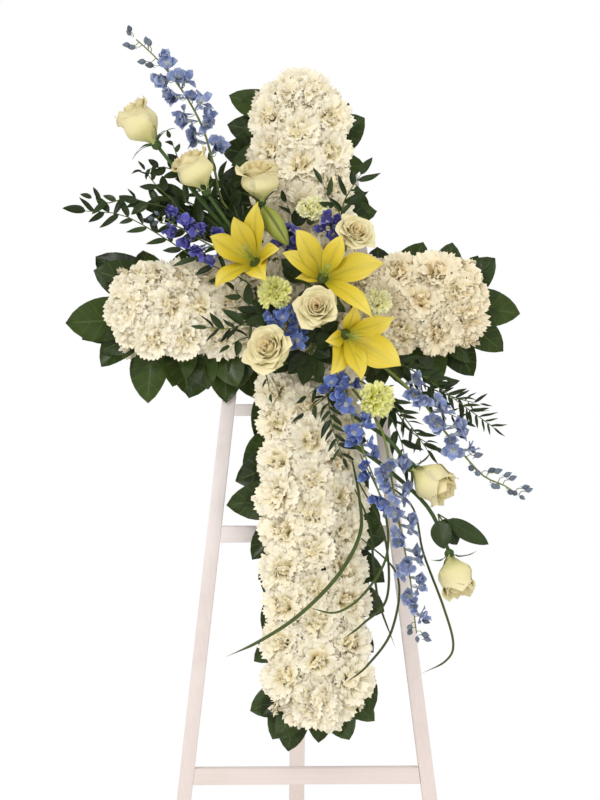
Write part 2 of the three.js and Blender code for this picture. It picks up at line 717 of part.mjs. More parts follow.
add(easel, "easel_front_leg_left", frontLeg(-1), MATERIALS.wood);
add(easel, "easel_front_leg_right", frontLeg(1), MATERIALS.wood);
add(easel, "easel_top_rail", rung(...TOP_RAIL), MATERIALS.wood);
add(easel, "easel_upper_rung", rung(...UPPER_RUNG), MATERIALS.wood);
add(easel, "easel_middle_rung", rung(...MIDDLE_RUNG), MATERIALS.wood);
add(easel, "easel_lower_crossbar", rung(...LOWER_CROSSBAR), MATERIALS.wood);
add(easel, "easel_rear_leg", geometryOf(rearLeg()), MATERIALS.wood);

const knuckleEnd = HINGE_WIDTH / 2;
const knuckleSeam = HINGE_WIDTH / 6;
const outerSpans = [[-knuckleEnd, -knuckleSeam - GAP], [knuckleSeam + GAP, knuckleEnd]];
const innerSpan = [[-knuckleSeam + GAP, knuckleSeam - GAP]];
const fixedLeaf = add(easel, "hinge_fixed_leaf", hingeLeaf(outerSpans), MATERIALS.steel);
fixedLeaf.position.copy(HINGE_AXIS);
fixedLeaf.rotation.x = -LEAN;
const movingLeaf = add(easel, "hinge_moving_leaf", hingeLeaf(innerSpan), MATERIALS.steel);
movingLeaf.position.copy(HINGE_AXIS);
movingLeaf.rotation.x = Math.PI + REAR_SPREAD;
add(easel, "hinge_pin", hingePin(), MATERIALS.steel).position.copy(HINGE_AXIS);

// Every piece on the cross, in order: a later piece gives way where it meets an earlier one
const onTheCross = [
  ["backing_board", backingBoard(), "board"],
  ["white_carnations_upright", carnationBeam(BOTTOM_END, TOP_END, [0, 1]), "white"],
  ["white_carnations_left_arm", lyingBeam(LEFT_END, -BEAM_HALF - GAP, [0]), "white"],
  ["white_carnations_right_arm", lyingBeam(BEAM_HALF + GAP, RIGHT_END, [1]), "white"],
  ["edge_leaves_top", edgeLeaves(LEAVES.top, rectangle(-48, 48, 62, TOP_END - BAND_INSET)), "leaf"],
  ["edge_leaves_left", edgeLeaves(LEAVES.left, rectangle(LEFT_END + BAND_INSET, -61, -52, 48)), "leaf"],
  ["edge_leaves_right", edgeLeaves(LEAVES.right, rectangle(61, RIGHT_END - BAND_INSET, -48, 50)), "leaf"],
  ["edge_leaves_lower", edgeLeaves(LEAVES.lower, rectangle(-46, 46, BOTTOM_END + BAND_INSET, -62)), "leaf"],
  ...Object.entries(LILIES).map(([name, spec]) => [name, lily(spec), "lily"]),
  ...Object.entries(ROSES).map(([name, spec]) => [name, rose(spec), "rose"]),
  ...Object.entries(GREEN_CARNATIONS).map(([name, spec]) => [name, greenCarnation(spec), "lime"]),
  ["lily_bud", lilyBud([-58, 128, 112], [-24, 66, 128], 26), "lime"],
  ...Object.entries(DELPHINIUMS).map(([name, spec]) => [name, delphinium(spec), "blue"]),
  ...Object.entries(FLORET_CLUSTERS).map(([name, spec]) => [name, floretCluster(spec), "blue"]),
  ...Object.entries(GRASS).map(([name, spec]) => [name, grassBlade(spec), "stem"]),
  ...Object.entries(SPRIGS).map(([name, spec]) => [name, sprig(spec), "leaf"]),
  ...Object.entries(BROAD_LEAVES).map(([name, leaves]) => [name, broadLeaves(leaves), "leaf"]),
];

const placed = [];
for (const [name, whole, material] of onTheCross) {
  let solid = whole;
  for (const earlier of placed) {
    if (solid.intersect(earlier).volume() > 0) solid = solid.subtract(grown(earlier));
  }
  solid = largest(solid);
  placed.push(solid);
  add(cross, name, geometryOf(solid), MATERIALS[material]);
}

cross.position.set(0, CROSSING_HEIGHT * Math.tan(LEAN) - WOOD_DEPTH / 2 - GAP, CROSSING_HEIGHT);
cross.rotation.set(-LEAN, -CROSS_TILT, 0);

// The origin goes to the floor, under the middle of the box
const box = new THREE.Box3().setFromObject(wreath, true);
const middle = box.getCenter(new THREE.Vector3());
wreath.position.set(-middle.x, -middle.y, -box.min.z);

export default wreath;
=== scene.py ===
# %% [markdown]
# # A cross of flowers on its easel
#
# A funeral cross has few kinds of piece and a great many of each. So one petal or one leaf is shaped
# well, and then copied in loops, each copy turned and sized a little differently.
#
# What is on the cross is given in millimetres across, up and out of the cross, and is leant back
# with the easel at the very end.

import math
import random
from collections import namedtuple

import bpy
import numpy as np
from mathutils import Matrix, Vector


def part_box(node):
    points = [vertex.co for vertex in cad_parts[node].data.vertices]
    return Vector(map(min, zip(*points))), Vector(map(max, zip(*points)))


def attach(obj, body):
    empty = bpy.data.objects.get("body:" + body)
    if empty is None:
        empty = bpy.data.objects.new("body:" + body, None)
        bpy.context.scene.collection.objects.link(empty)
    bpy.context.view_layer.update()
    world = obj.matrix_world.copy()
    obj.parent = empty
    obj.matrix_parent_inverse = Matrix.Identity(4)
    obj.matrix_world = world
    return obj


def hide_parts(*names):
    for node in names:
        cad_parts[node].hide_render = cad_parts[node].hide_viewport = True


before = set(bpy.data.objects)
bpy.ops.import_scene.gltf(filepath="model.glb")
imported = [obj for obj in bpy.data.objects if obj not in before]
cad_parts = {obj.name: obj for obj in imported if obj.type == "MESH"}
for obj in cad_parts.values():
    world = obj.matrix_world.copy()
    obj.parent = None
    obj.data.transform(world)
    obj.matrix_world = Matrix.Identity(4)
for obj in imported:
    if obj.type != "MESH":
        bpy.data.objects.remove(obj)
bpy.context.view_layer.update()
FRONT_BODY, LEG_BODY = "front_frame_and_cross", "rear_leg"
OUTWARD = np.array((0, 0, 1.0))
FULL_TURN = 6.3
MERGE_DISTANCE = 1e-6
FINISHES = {}
print("solids in the frame:", len(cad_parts))

# %% [markdown]
# ## Where the cross is
#
# The front legs lean back by 12 degrees, and the cross leans with them and is turned by a degree
# and a half. It is placed from the feet of the legs, so it follows the easel if that is ever moved.

# %% From the cross to the room
LEAN = math.radians(12)
TILT = math.radians(1.5)
WOOD_DEPTH = 0.019
CROSSING_HEIGHT = 1.121
CROSS_BEFORE_LEGS = 0.00985
left_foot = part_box("easel_front_leg_left")[0]
right_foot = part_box("easel_front_leg_right")[1]
middle_of_feet = Vector(((left_foot.x + right_foot.x) / 2, left_foot.y + WOOD_DEPTH / 2, 0))
leant_back = CROSSING_HEIGHT * math.tan(LEAN) - CROSS_BEFORE_LEGS
crossing = middle_of_feet + Vector((0, leant_back, CROSSING_HEIGHT))
lean_and_tilt = Matrix.Rotation(-LEAN, 3, "X") @ Matrix.Rotation(-TILT, 3, "Y")
across_up_out = Matrix(((1, 0, 0), (0, 0, -1), (0, 1, 0)))
TO_ROOM = np.array(lean_and_tilt @ across_up_out) * 0.001
CROSSING = np.array(crossing)
print("the crossing is at", [round(x, 3) for x in crossing])

# %% [markdown]
# The photograph was taken from in front, three metres away and almost level with the middle of the
# cross. So a leaf's tip can be read off it in pixels, and turned into a point on the cross as soon as
# it is decided how far it stands out.

# %% From the photograph to the cross
CAMERA_DISTANCE = 3.0
CAMERA_TURN = math.radians(-1.8)
AIM_FROM_FEET = (-0.006, 0.211, 0.994)
PHOTO_WIDTH, PHOTO_HEIGHT, FOCAL = 600, 800, 2069
back_to_camera = Vector((math.sin(CAMERA_TURN), -math.cos(CAMERA_TURN), 0))
camera_place = middle_of_feet + Vector(AIM_FROM_FEET) + CAMERA_DISTANCE * back_to_camera


def seen_at(x, y, out):
    """The point of the cross, out millimetres proud, that the photograph shows at a pixel."""
    aside, above = (x - PHOTO_WIDTH / 2) / FOCAL, (PHOTO_HEIGHT / 2 - y) / FOCAL
    ray = Matrix.Rotation(CAMERA_TURN, 3, "Z") @ Vector((aside, 1, above))
    start = (np.array(camera_place) - CROSSING) @ TO_ROOM * 1e6
    ray = np.array(ray) @ TO_ROOM * 1e6
    return start + ray * (out - start[2]) / ray[2]


print("the middle rose is at", seen_at(318, 307, 104).round())

# %% [markdown]
# ## One petal or leaf at a time
#
# Every petal, sepal and leaf starts as a flat grid, x running from its root to its tip and y across
# it. A function then says where each point of that grid goes. The grid's own place is kept as the UV
# map, so that a finish can follow a leaf's midrib or a petal's base.

# %% A form is a mesh held as plain lists, so that it can be copied fast
Form = namedtuple("Form", "points corners sizes uv tone look")


def form_of(thing):
    mesh = thing.data
    points = np.empty(len(mesh.vertices) * 3, np.float32)
    mesh.vertices.foreach_get("co", points)
    corners = np.empty(len(mesh.loops), np.int32)
    mesh.loops.foreach_get("vertex_index", corners)
    sizes = np.empty(len(mesh.polygons), np.int32)
    mesh.polygons.foreach_get("loop_total", sizes)
    count = len(mesh.vertices)
    bpy.data.objects.remove(thing)
    return Form(
        points.reshape(-1, 3).astype(float), corners, sizes, np.zeros((count, 2)),
        np.full(count, 0.5), np.zeros(len(sizes), int),
    )


flat_sheets = {}


def flat_sheet(along, across):
    if (along, across) not in flat_sheets:
        bpy.ops.mesh.primitive_grid_add(x_subdivisions=along, y_subdivisions=across, size=2)
        form = form_of(bpy.context.object)
        flat_sheets[along, across] = form._replace(uv=(form.points[:, :2] + 1) / 2)
    return flat_sheets[along, across]


def shaped(sheet, shape, tone=0.5, look=0):
    s, t = sheet.uv[:, 0], sheet.uv[:, 1] * 2 - 1
    points = np.column_stack([np.broadcast_to(x, s.shape) for x in shape(s, t)])
    return sheet._replace(
        points=points, tone=np.full(len(s), tone), look=np.full(len(sheet.sizes), look)
    )


print("points in a sheet of 10 by 6:", len(flat_sheet(10, 6).points))

# %% Directions, and moving and joining forms


def unit(vector):
    vector = np.asarray(vector, float)
    return vector / max(np.linalg.norm(vector), 1e-9)


def ray_at(angle):
    return np.array((math.cos(angle), math.sin(angle), 0))


def axes(z, x=OUTWARD, spin=0.0):
    """Three axes as columns: z as given, x as near as it goes to the one asked for, then spun."""
    z = unit(z)
    x = np.asarray(x, float)
    if abs(np.dot(unit(x), z)) > 0.98:
        x = np.array((1.0, 0.3, 0.1))
    x = unit(x - np.dot(x, z) * z)
    y = np.cross(z, x)
    turned = x * math.cos(spin) + y * math.sin(spin)
    return np.column_stack((turned, np.cross(z, turned), z))


def along_axes(direction, facing, roll=0.0):
    """Axes for a leaf: x along it, z as near as it goes to the way it faces, rolled about x."""
    x = unit(direction)
    z = unit(np.asarray(facing, float) - np.dot(facing, x) * x)
    y = np.cross(z, x)
    z_rolled = z * math.cos(roll) + y * math.sin(roll)
    return np.column_stack((x, np.cross(z_rolled, x), z_rolled))


def opened_out(angle, slope):
    """For a sepal at an angle round a flower: outward, the way it points, and the way it faces."""
    outward = ray_at(angle)
    direction = outward * math.cos(slope) + OUTWARD * math.sin(slope)
    return outward, direction, OUTWARD * math.cos(slope) - outward * math.sin(slope)


def moved(form, turn, place=(0, 0, 0), size=1.0):
    return form._replace(points=form.points * size @ np.asarray(turn).T + np.asarray(place, float))


def joined(forms):
    starts = np.cumsum([0] + [len(f.points) for f in forms[:-1]])
    lists = {field: np.concatenate([getattr(f, field) for f in forms]) for field in Form._fields}
    lists["corners"] = np.concatenate([f.corners + start for f, start in zip(forms, starts)])
    return Form(**lists)


# %% Stems, as tubes along a smooth line


def smooth_line(points, count):
    """Points spaced along a smooth line that runs through the given ones."""
    points = np.array(points, float)
    if len(points) == 2:
        return points[0] + np.linspace(0, 1, count)[:, None] * (points[1] - points[0])
    ends = np.vstack((2 * points[0] - points[1], points, 2 * points[-1] - points[-2]))
    line = []
    for place in np.linspace(0, len(points) - 1 - 1e-6, count):
        i, f = int(place), place - int(place)
        a, b, c, d = ends[i:i + 4]
        line.append(0.5 * (2 * b + (c - a) * f + (2 * a - 5 * b + 4 * c - d) * f**2
                           + (3 * b - a - 3 * c + d) * f**3))
    return np.array(line)


def tangents(line):
    steps = np.gradient(line, axis=0)
    return steps / np.linalg.norm(steps, axis=1)[:, None]


def tube(line, radius, sides=6, look=0, tone=0.5):
    """A stem along a line, closed at both ends. radius is one number, or one for each point."""
    count = len(line)
    radii = np.broadcast_to(np.asarray(radius, float), (count,))
    sheet = flat_sheet(count - 1, sides)
    along = tangents(line)
    side = unit(np.cross(along[0], (0.3, 0.5, 0.8)))
    sides_of_line = []
    for tangent in along:
        side = unit(side - np.dot(side, tangent) * tangent)
        sides_of_line.append(side)
    side = np.array(sides_of_line)
    other = np.cross(along, side)
    row = np.round(sheet.uv[:, 0] * (count - 1)).astype(int)
    angle = -sheet.uv[:, 1] * 2 * np.pi
    points = line[row] + radii[row, None] * (
        side[row] * np.cos(angle)[:, None] + other[row] * np.sin(angle)[:, None]
    )
    across = np.argsort(sheet.uv[:, 1])
    first, last = (across[row[across] == end][:-1] for end in (0, count - 1))
    return sheet._replace(
        points=points, corners=np.concatenate((sheet.corners, first, last[::-1])),
        sizes=np.concatenate((sheet.sizes, (sides, sides))),
        tone=np.full(len(points), tone), look=np.full(len(sheet.sizes) + 2, look),
    )


def stem(points, count, radius, sides=5, look=0):
    return tube(smooth_line(points, count), radius, sides, look)


# %% A form becomes a piece of the scene


def edit_all(piece, *steps):
    """Run mesh operators, each given with its settings, on the whole of a piece."""
    bpy.ops.object.select_all(action="DESELECT")
    bpy.context.view_layer.objects.active = piece
    piece.select_set(True)
    bpy.ops.object.mode_set(mode="EDIT")
    bpy.ops.mesh.select_all(action="SELECT")
    for operator, settings in steps:
        operator(**settings)
    bpy.ops.object.mode_set(mode="OBJECT")


def declare(piece, body, nodes=()):
    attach(piece, body)
    if nodes:
        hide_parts(*nodes)


def make_piece(name, forms, looks, nodes=(), in_room=False):
    form = joined(forms)
    points = form.points if in_room else form.points @ TO_ROOM.T + CROSSING
    mesh = bpy.data.meshes.new(name)
    mesh.vertices.add(len(points))
    mesh.vertices.foreach_set("co", points.astype(np.float32).ravel())
    mesh.loops.add(len(form.corners))
    mesh.loops.foreach_set("vertex_index", form.corners.astype(np.int32))
    mesh.polygons.add(len(form.sizes))
    starts = np.cumsum(form.sizes) - form.sizes
    fields = {"loop_start": starts, "loop_total": form.sizes, "material_index": form.look}
    for field, values in fields.items():
        mesh.polygons.foreach_set(field, values.astype(np.int32))
    mesh.polygons.foreach_set("use_smooth", np.ones(len(form.sizes), bool))
    surface = mesh.uv_layers.new(name="surface")
    surface.data.foreach_set("uv", form.uv[form.corners].astype(np.float32).ravel())
    tone = mesh.attributes.new("tone", "FLOAT", "POINT")
    tone.data.foreach_set("value", form.tone.astype(np.float32))
    mesh.update(calc_edges=True)
    for look in looks:
        mesh.materials.append(FINISHES[look])
    piece = bpy.data.objects.new(name, mesh)
    bpy.context.scene.collection.objects.link(piece)
    edit_all(piece, (bpy.ops.mesh.remove_doubles, {"threshold": MERGE_DISTANCE}))
    declare(piece, FRONT_BODY, nodes)
    print(f"{name}: {int((form.sizes - 2).sum())} triangles")


# %% [markdown]
# ## Finishes
#
# A petal is greener or deeper at its base, paler at its rim, and streaked from root to rim, and no
# two petals match. Leaves have a pale midrib and side veins. All of that follows the UV map, and a
# number called tone that each petal and leaf has for itself.

# %% Nodes, and sums on what comes out of them


def add_node(tree, kind, inputs=(), output=0, **settings):
    node = tree.nodes.new("ShaderNode" + kind)
    for name, value in settings.items():
        setattr(node, name, value)
    connect(tree, node, inputs)
    return Signal(tree, node, output)


def connect(tree, node, inputs):
    for name, value in dict(inputs).items():
        if isinstance(value, Signal):
            tree.links.new(value.socket, node.inputs[name])
        else:
            node.inputs[name].default_value = value


class Signal:
    """What comes out of a node. A sum on it adds a node that does the sum."""

    def __init__(self, tree, node, output):
        self.tree, self.node, self.socket = tree, node, node.outputs[output]

    def output(self, name):
        return Signal(self.tree, self.node, name)

    def math(self, operation, other=0.0, clamp=False):
        return add_node(self.tree, "Math", {0: self, 1: other}, operation=operation, use_clamp=clamp)

    def __add__(self, other):
        return self.math("ADD", other)

    def __sub__(self, other):
        return self.math("SUBTRACT", other)

    def __mul__(self, other):
        return self.math("MULTIPLY", other)


class Finish:
    """A material while it is made, with short calls for the nodes that the finishes use."""

    def __init__(self, name, roughness, **sockets):
        FINISHES[name] = bpy.data.materials.new(name)
        FINISHES[name].use_nodes = True
        self.tree = FINISHES[name].node_tree
        self.shader = self.tree.nodes["Principled BSDF"]
        self.set(Roughness=roughness, **sockets)

    def set(self, **sockets):
        named = {name.replace("_", " "): value for name, value in sockets.items()}
        connect(self.tree, self.shader, named)

    def node(self, kind, inputs=(), output=0, **settings):
        return add_node(self.tree, kind, inputs, output, **settings)

    def surface(self):
        """The petal's own place, along it and across it, its tone, and the map of the two."""
        place = self.node("UVMap", uv_map="surface")
        parts = self.node("SeparateXYZ", {"Vector": place})
        tone = self.node("Attribute", output="Fac", attribute_name="tone")
        return parts, parts.output("Y"), tone, place

    def stretched(self, place, scale):
        return self.node("Mapping", {"Vector": place, "Scale": scale})

    def object_place(self, scale=(1, 1, 1)):
        return self.stretched(self.node("TexCoord", output="Object"), scale)

    def noise(self, vector, scale, detail=3.0, **inputs):
        return self.node("TexNoise", {"Vector": vector, "Scale": scale, "Detail": detail, **inputs})

    def mix(self, factor, a, b):
        inputs = {0: factor, 6: a if isinstance(a, Signal) else (*a, 1), 7: (*b, 1)}
        return self.node("Mix", inputs, output=2, data_type="RGBA")

    def ramp(self, factor, stops):
        colour = self.node("ValToRGB", {"Fac": factor})
        elements = colour.node.color_ramp.elements
        while len(elements) < len(stops):
            elements.new(0.5)
        for element, (position, shade) in zip(elements, stops):
            element.position, element.color = position, (*shade, 1)
        return colour

    def lit(self, colour, value):
        return self.node("HueSaturation", {"Color": colour, "Value": value})

    def bump(self, height, strength, distance):
        inputs = {"Height": height, "Strength": strength, "Distance": distance}
        self.set(Normal=self.node("Bump", inputs))


def one_less(signal):
    return add_node(signal.tree, "Math", {0: 1.0, 1: signal}, operation="SUBTRACT")


# %% Petals: colours from root to rim, how streaked they are, and how much they differ


def petal_finish(name, stops, roughness, streak, spread, subsurface, lines=34, warm=None, rib=None):
    finish = Finish(name, roughness)
    along, across, tone, place = finish.surface()
    colour = finish.ramp(along, stops)
    lengthwise = finish.stretched(place, (2.2, lines, 1))
    inputs = {"Vector": lengthwise, "W": tone * 40.0, "Scale": 1.0, "Detail": 2.0}
    streaks = finish.node("TexNoise", inputs, noise_dimensions="4D")
    if warm:
        colour = finish.mix(tone.math("POWER", 3.0) * 0.8, colour, warm)
    if rib:
        from_rib = (across - 0.5).math("ABSOLUTE").math("MULTIPLY", 9.0, clamp=True)
        colour = finish.mix(one_less(from_rib) * one_less(along), colour, rib)
    lighter = streaks * (streak * 2) + (1 - streak)
    own = tone * spread + (1 - spread / 2)
    finish.set(
        Base_Color=finish.lit(colour, lighter * own), Subsurface_Weight=subsurface,
        Subsurface_Radius=(1.0, 0.9, 0.6), Subsurface_Scale=0.004,
    )
    finish.bump(streaks, 0.25, 0.0006)


petal_finish("white petal", [
    (0.0, (0.88, 0.83, 0.52)), (0.15, (0.95, 0.87, 0.58)), (0.55, (0.96, 0.88, 0.64)),
    (1.0, (0.96, 0.89, 0.72)),
], 0.62, 0.04, 0.06, 0.08, warm=(0.95, 0.8, 0.4))
petal_finish("warm white petal", [
    (0.0, (0.84, 0.77, 0.46)), (0.15, (0.93, 0.81, 0.52)), (0.55, (0.94, 0.82, 0.56)),
    (1.0, (0.94, 0.85, 0.63)),
], 0.62, 0.04, 0.08, 0.08, warm=(0.93, 0.74, 0.38))
petal_finish("lime petal", [
    (0.0, (0.5, 0.6, 0.1)), (0.4, (0.78, 0.79, 0.15)), (0.8, (0.86, 0.85, 0.24)),
    (1.0, (0.9, 0.88, 0.42)),
], 0.6, 0.08, 0.16, 0.3)
petal_finish("pale lime petal", [
    (0.0, (0.6, 0.65, 0.16)), (0.4, (0.82, 0.8, 0.28)), (0.8, (0.88, 0.84, 0.4)),
    (1.0, (0.93, 0.89, 0.58)),
], 0.6, 0.08, 0.14, 0.3)
petal_finish("rose petal", [
    (0.0, (0.5, 0.55, 0.16)), (0.22, (0.72, 0.66, 0.27)), (0.6, (0.8, 0.71, 0.38)),
    (1.0, (0.86, 0.77, 0.46)),
], 0.5, 0.05, 0.04, 0.3, warm=(0.88, 0.68, 0.4))
petal_finish("lily petal", [
    (0.0, (0.3, 0.33, 0.03)), (0.18, (0.54, 0.42, 0.015)), (0.5, (0.67, 0.51, 0.025)),
    (1.0, (0.76, 0.62, 0.1)),
], 0.45, 0.22, 0.14, 0.2, 30, rib=(0.42, 0.36, 0.02))
petal_finish("blue petal", [
    (0.0, (0.5, 0.54, 0.5)), (0.25, (0.16, 0.2, 0.42)), (0.7, (0.09, 0.15, 0.41)),
    (1.0, (0.27, 0.34, 0.56)),
], 0.5, 0.35, 0.8, 0.1, 12)
petal_finish("pale blue petal", [
    (0.0, (0.55, 0.58, 0.45)), (0.25, (0.33, 0.37, 0.5)), (0.6, (0.16, 0.21, 0.4)),
    (1.0, (0.38, 0.43, 0.55)),
], 0.5, 0.35, 0.8, 0.1, 12)
petal_finish("violet petal", [
    (0.0, (0.36, 0.36, 0.55)), (0.3, (0.1, 0.09, 0.34)), (0.75, (0.08, 0.08, 0.34)),
    (1.0, (0.2, 0.19, 0.48)),
], 0.5, 0.35, 0.9, 0.1, 12)
petal_finish(
    "pale eye", [(0.0, (0.5, 0.55, 0.3)), (0.5, (0.75, 0.74, 0.6)), (1.0, (0.8, 0.78, 0.7))],
    0.6, 0.1, 0.2, 0.12,
)
print("petal finishes:", len(FINISHES))

# %% Leaves, with a midrib and side veins


def leaf_finish(name, dark, light, vein, roughness, veins, vein_share):
    """veins is how many side veins leave the midrib, and vein_share how much they show."""
    finish = Finish(name, roughness, Specular_IOR_Level=0.35, Coat_Weight=0.14, Coat_Roughness=0.25)
    along, across, tone, place = finish.surface()
    from_rib = (across * 2.0 - 1.0).math("ABSOLUTE")
    slanted = along - from_rib * 0.176
    wave = (slanted * (veins * 2)).math("PINGPONG", 1.0)
    side_veins = wave.math("LESS_THAN", 0.12) * vein_share
    marked = from_rib.math("LESS_THAN", 0.05).math("MAXIMUM", side_veins)
    blotch = finish.noise(finish.object_place(), 60.0)
    fine = finish.noise(finish.stretched(place, (16, 9, 1)), 2.0)
    body = finish.lit(finish.mix(blotch, dark, light), tone * 0.9 + 0.55)
    finish.set(
        Base_Color=finish.mix(marked * 0.7, body, vein), Roughness=blotch * 0.18 + (roughness - 0.09),
    )
    finish.bump(fine * 0.5 - marked, 0.5, 0.0012)


leaf_finish("edge leaf", (0.02, 0.036, 0.005), (0.042, 0.072, 0.01), (0.085, 0.13, 0.03), 0.36, 6, 0.5)
leaf_finish("foliage", (0.018, 0.032, 0.006), (0.038, 0.066, 0.012), (0.055, 0.095, 0.03), 0.42, 5, 0.5)
leaf_finish("ruscus leaf", (0.016, 0.03, 0.006), (0.036, 0.062, 0.012), (0.04, 0.075, 0.022), 0.38, 1, 0)
leaf_finish("sepal", (0.03, 0.07, 0.012), (0.08, 0.14, 0.03), (0.12, 0.18, 0.06), 0.5, 3, 0.2)

# %% Stems, buds and grass


def stem_finish(name, dark, light, roughness=0.5, scale=50.0):
    finish = Finish(name, roughness)
    _, _, tone, place = finish.surface()
    spots = finish.noise(finish.object_place(), scale, 4.0)
    finish.set(Base_Color=finish.lit(finish.mix(spots, dark, light), tone * 0.6 + 0.7))
    finish.bump(finish.noise(finish.stretched(place, (3, 24, 1)), 1.5), 0.3, 0.0008)


stem_finish("green stem", (0.05, 0.08, 0.012), (0.13, 0.17, 0.03))
stem_finish("pale stem", (0.12, 0.17, 0.03), (0.26, 0.31, 0.07))
stem_finish("delphinium bud", (0.07, 0.08, 0.16), (0.16, 0.2, 0.2), 0.5, 120.0)
stem_finish("grass", (0.03, 0.05, 0.008), (0.085, 0.115, 0.02), 0.4)
stem_finish("lily bud", (0.17, 0.22, 0.025), (0.34, 0.36, 0.06), 0.45, 18.0)
stem_finish("throat green", (0.2, 0.3, 0.05), (0.4, 0.5, 0.12), 0.5)
print("finishes so far:", len(FINISHES))

# %% [markdown]
# The easel is soft wood under one thin coat of pinkish white paint. The grain still shows as faint long
# lines, the paint is darker and browner towards the feet, and it is satin.

# %% Painted wood, steel, plastic, and the floor


def painted_wood(name, grain):
    """grain is how the pattern is stretched: small along the stick and large across it."""
    finish = Finish(name, 0.45)
    lines = finish.noise(finish.object_place(grain), 1.0, 6.0, Roughness=0.6)
    patches = finish.noise(finish.object_place(), 9.0, 4.0)
    paint = finish.ramp(
        patches, [(0.3, (0.72, 0.63, 0.6)), (0.55, (0.8, 0.72, 0.69)), (0.75, (0.84, 0.77, 0.73))]
    )
    # The paint is mixed with a darker brown towards the feet.
    height = finish.node("SeparateXYZ", {"Vector": finish.object_place()}, output="Z")
    near_floor = one_less(height.math("MULTIPLY", 1.1, clamp=True))
    paint = finish.mix(near_floor * 0.9, paint, (0.66, 0.53, 0.46))
    finish.set(Base_Color=finish.lit(paint, lines * 0.16 + 0.92))
    finish.bump(lines, 0.35, 0.0006)


def mottled(name, roughness, scale, detail, dark, light, bump=None, **sockets):
    finish = Finish(name, roughness, **sockets)
    pattern = finish.noise(finish.object_place(scale), 1.0, detail)
    finish.set(Base_Color=finish.ramp(pattern, [(0.3, dark), (0.7, light)]))
    if bump:
        finish.bump(pattern, *bump)


painted_wood("upright wood", (260, 260, 9))
painted_wood("lying wood", (9, 260, 260))
mottled("zinc steel", 0.38, (40, 900, 900), 4.0, (0.42, 0.42, 0.41), (0.62, 0.62, 0.6),
        (0.3, 0.0002), Metallic=1.0)
mottled("green plastic", 0.5, (140, 140, 140), 4.0, (0.018, 0.05, 0.022), (0.03, 0.075, 0.035),
        (0.25, 0.0006))
mottled("pale floor", 0.7, (3, 3, 3), 2.0, (0.9, 0.9, 0.9), (0.93, 0.93, 0.93), Specular_IOR_Level=0.1)

# %% [markdown]
# ## The easel
#
# Each stick is a plain length of square wood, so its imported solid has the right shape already. It
# lacks the small rounding of sanded edges, which catches the light. So each stick is copied, its
# doubled points are merged, and its edges are bevelled.

# %% Sticks with sanded edges


def merged_copy(node, name):
    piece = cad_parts[node].copy()
    piece.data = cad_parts[node].data.copy()
    piece.name = name
    for key in list(piece.keys()):
        del piece[key]
    piece.parent = None
    piece.hide_render = piece.hide_viewport = False
    bpy.context.scene.collection.objects.link(piece)
    piece.data.materials.clear()
    flat, square = math.radians(5), math.radians(60)
    edit_all(
        piece, (bpy.ops.mesh.remove_doubles, {"threshold": 0.00001}),
        (bpy.ops.mesh.tris_convert_to_quads, {"face_threshold": flat, "shape_threshold": square}),
    )
    return piece


def softened(piece, width, segments, sharpest, finish, body, node):
    """Bevel the edges of a copied solid that turn by more than sharpest degrees."""
    bevel = piece.modifiers.new("bevel", "BEVEL")
    bevel.width, bevel.segments = width, segments
    bevel.limit_method, bevel.angle_limit = "ANGLE", math.radians(sharpest)
    bpy.ops.object.modifier_apply(modifier="bevel")
    bpy.ops.object.shade_smooth_by_angle(angle=math.radians(35))
    piece.data.materials.append(FINISHES[finish])
    declare(piece, body, [node])


SANDING = 0.0016
STICKS = {
    "easel_front_leg_left": "upright wood", "easel_front_leg_right": "upright wood",
    "easel_top_rail": "lying wood", "easel_upper_rung": "lying wood",
    "easel_middle_rung": "lying wood", "easel_lower_crossbar": "lying wood",
    "easel_rear_leg": "upright wood",
}
for node, finish in STICKS.items():
    body = LEG_BODY if node == "easel_rear_leg" else FRONT_BODY
    stick = merged_copy(node, node + "_sanded")
    softened(stick, SANDING, 3, 40, finish, body, node)
print("sticks:", len(STICKS))

# %% [markdown]
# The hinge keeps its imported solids, which have the right shape. Its screws are small things that
# only the looks need: two low heads with rounded rims in the leaf that is fixed to the top rail.

# %% The hinge and its screws
for node in ("hinge_fixed_leaf", "hinge_moving_leaf", "hinge_pin"):
    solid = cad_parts[node].data
    solid.materials.clear()
    solid.materials.append(FINISHES["zinc steel"])

HEAD_RADIUS, HEAD_HEIGHT = 0.0026, 0.0009
SCREW_ASIDE, SCREW_UP, SCREW_PROUD = 0.007, 0.002, 0.0012
bpy.ops.mesh.primitive_cylinder_add(vertices=20, radius=HEAD_RADIUS, depth=2 * HEAD_HEIGHT)
rounding = {"offset": HEAD_HEIGHT * 0.7, "segments": 2, "affect": "EDGES"}
edit_all(bpy.context.object, (bpy.ops.mesh.bevel, rounding))
screw_head = form_of(bpy.context.object)
low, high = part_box("hinge_fixed_leaf")
outward = unit((0, math.cos(LEAN), -math.sin(LEAN)))
upward = unit(OUTWARD - outward[2] * outward)
heads = [
    moved(
        screw_head, axes(outward),
        np.array((low + high) / 2) + (aside, 0, 0) + upward * SCREW_UP + outward * SCREW_PROUD,
    )
    for aside in (-SCREW_ASIDE, SCREW_ASIDE)
]
make_piece("hinge_screws_fixed", heads, ["zinc steel"], in_room=True)

# %% [markdown]
# ## The tray behind the flowers
#
# The flowers are pushed into wet foam that sits in a shallow plastic tray in the shape of the
# cross. Only its back shows, and only from behind: a flat floor with a raised rim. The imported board
# is copied, and its back is inset and pushed in to leave the rim standing.

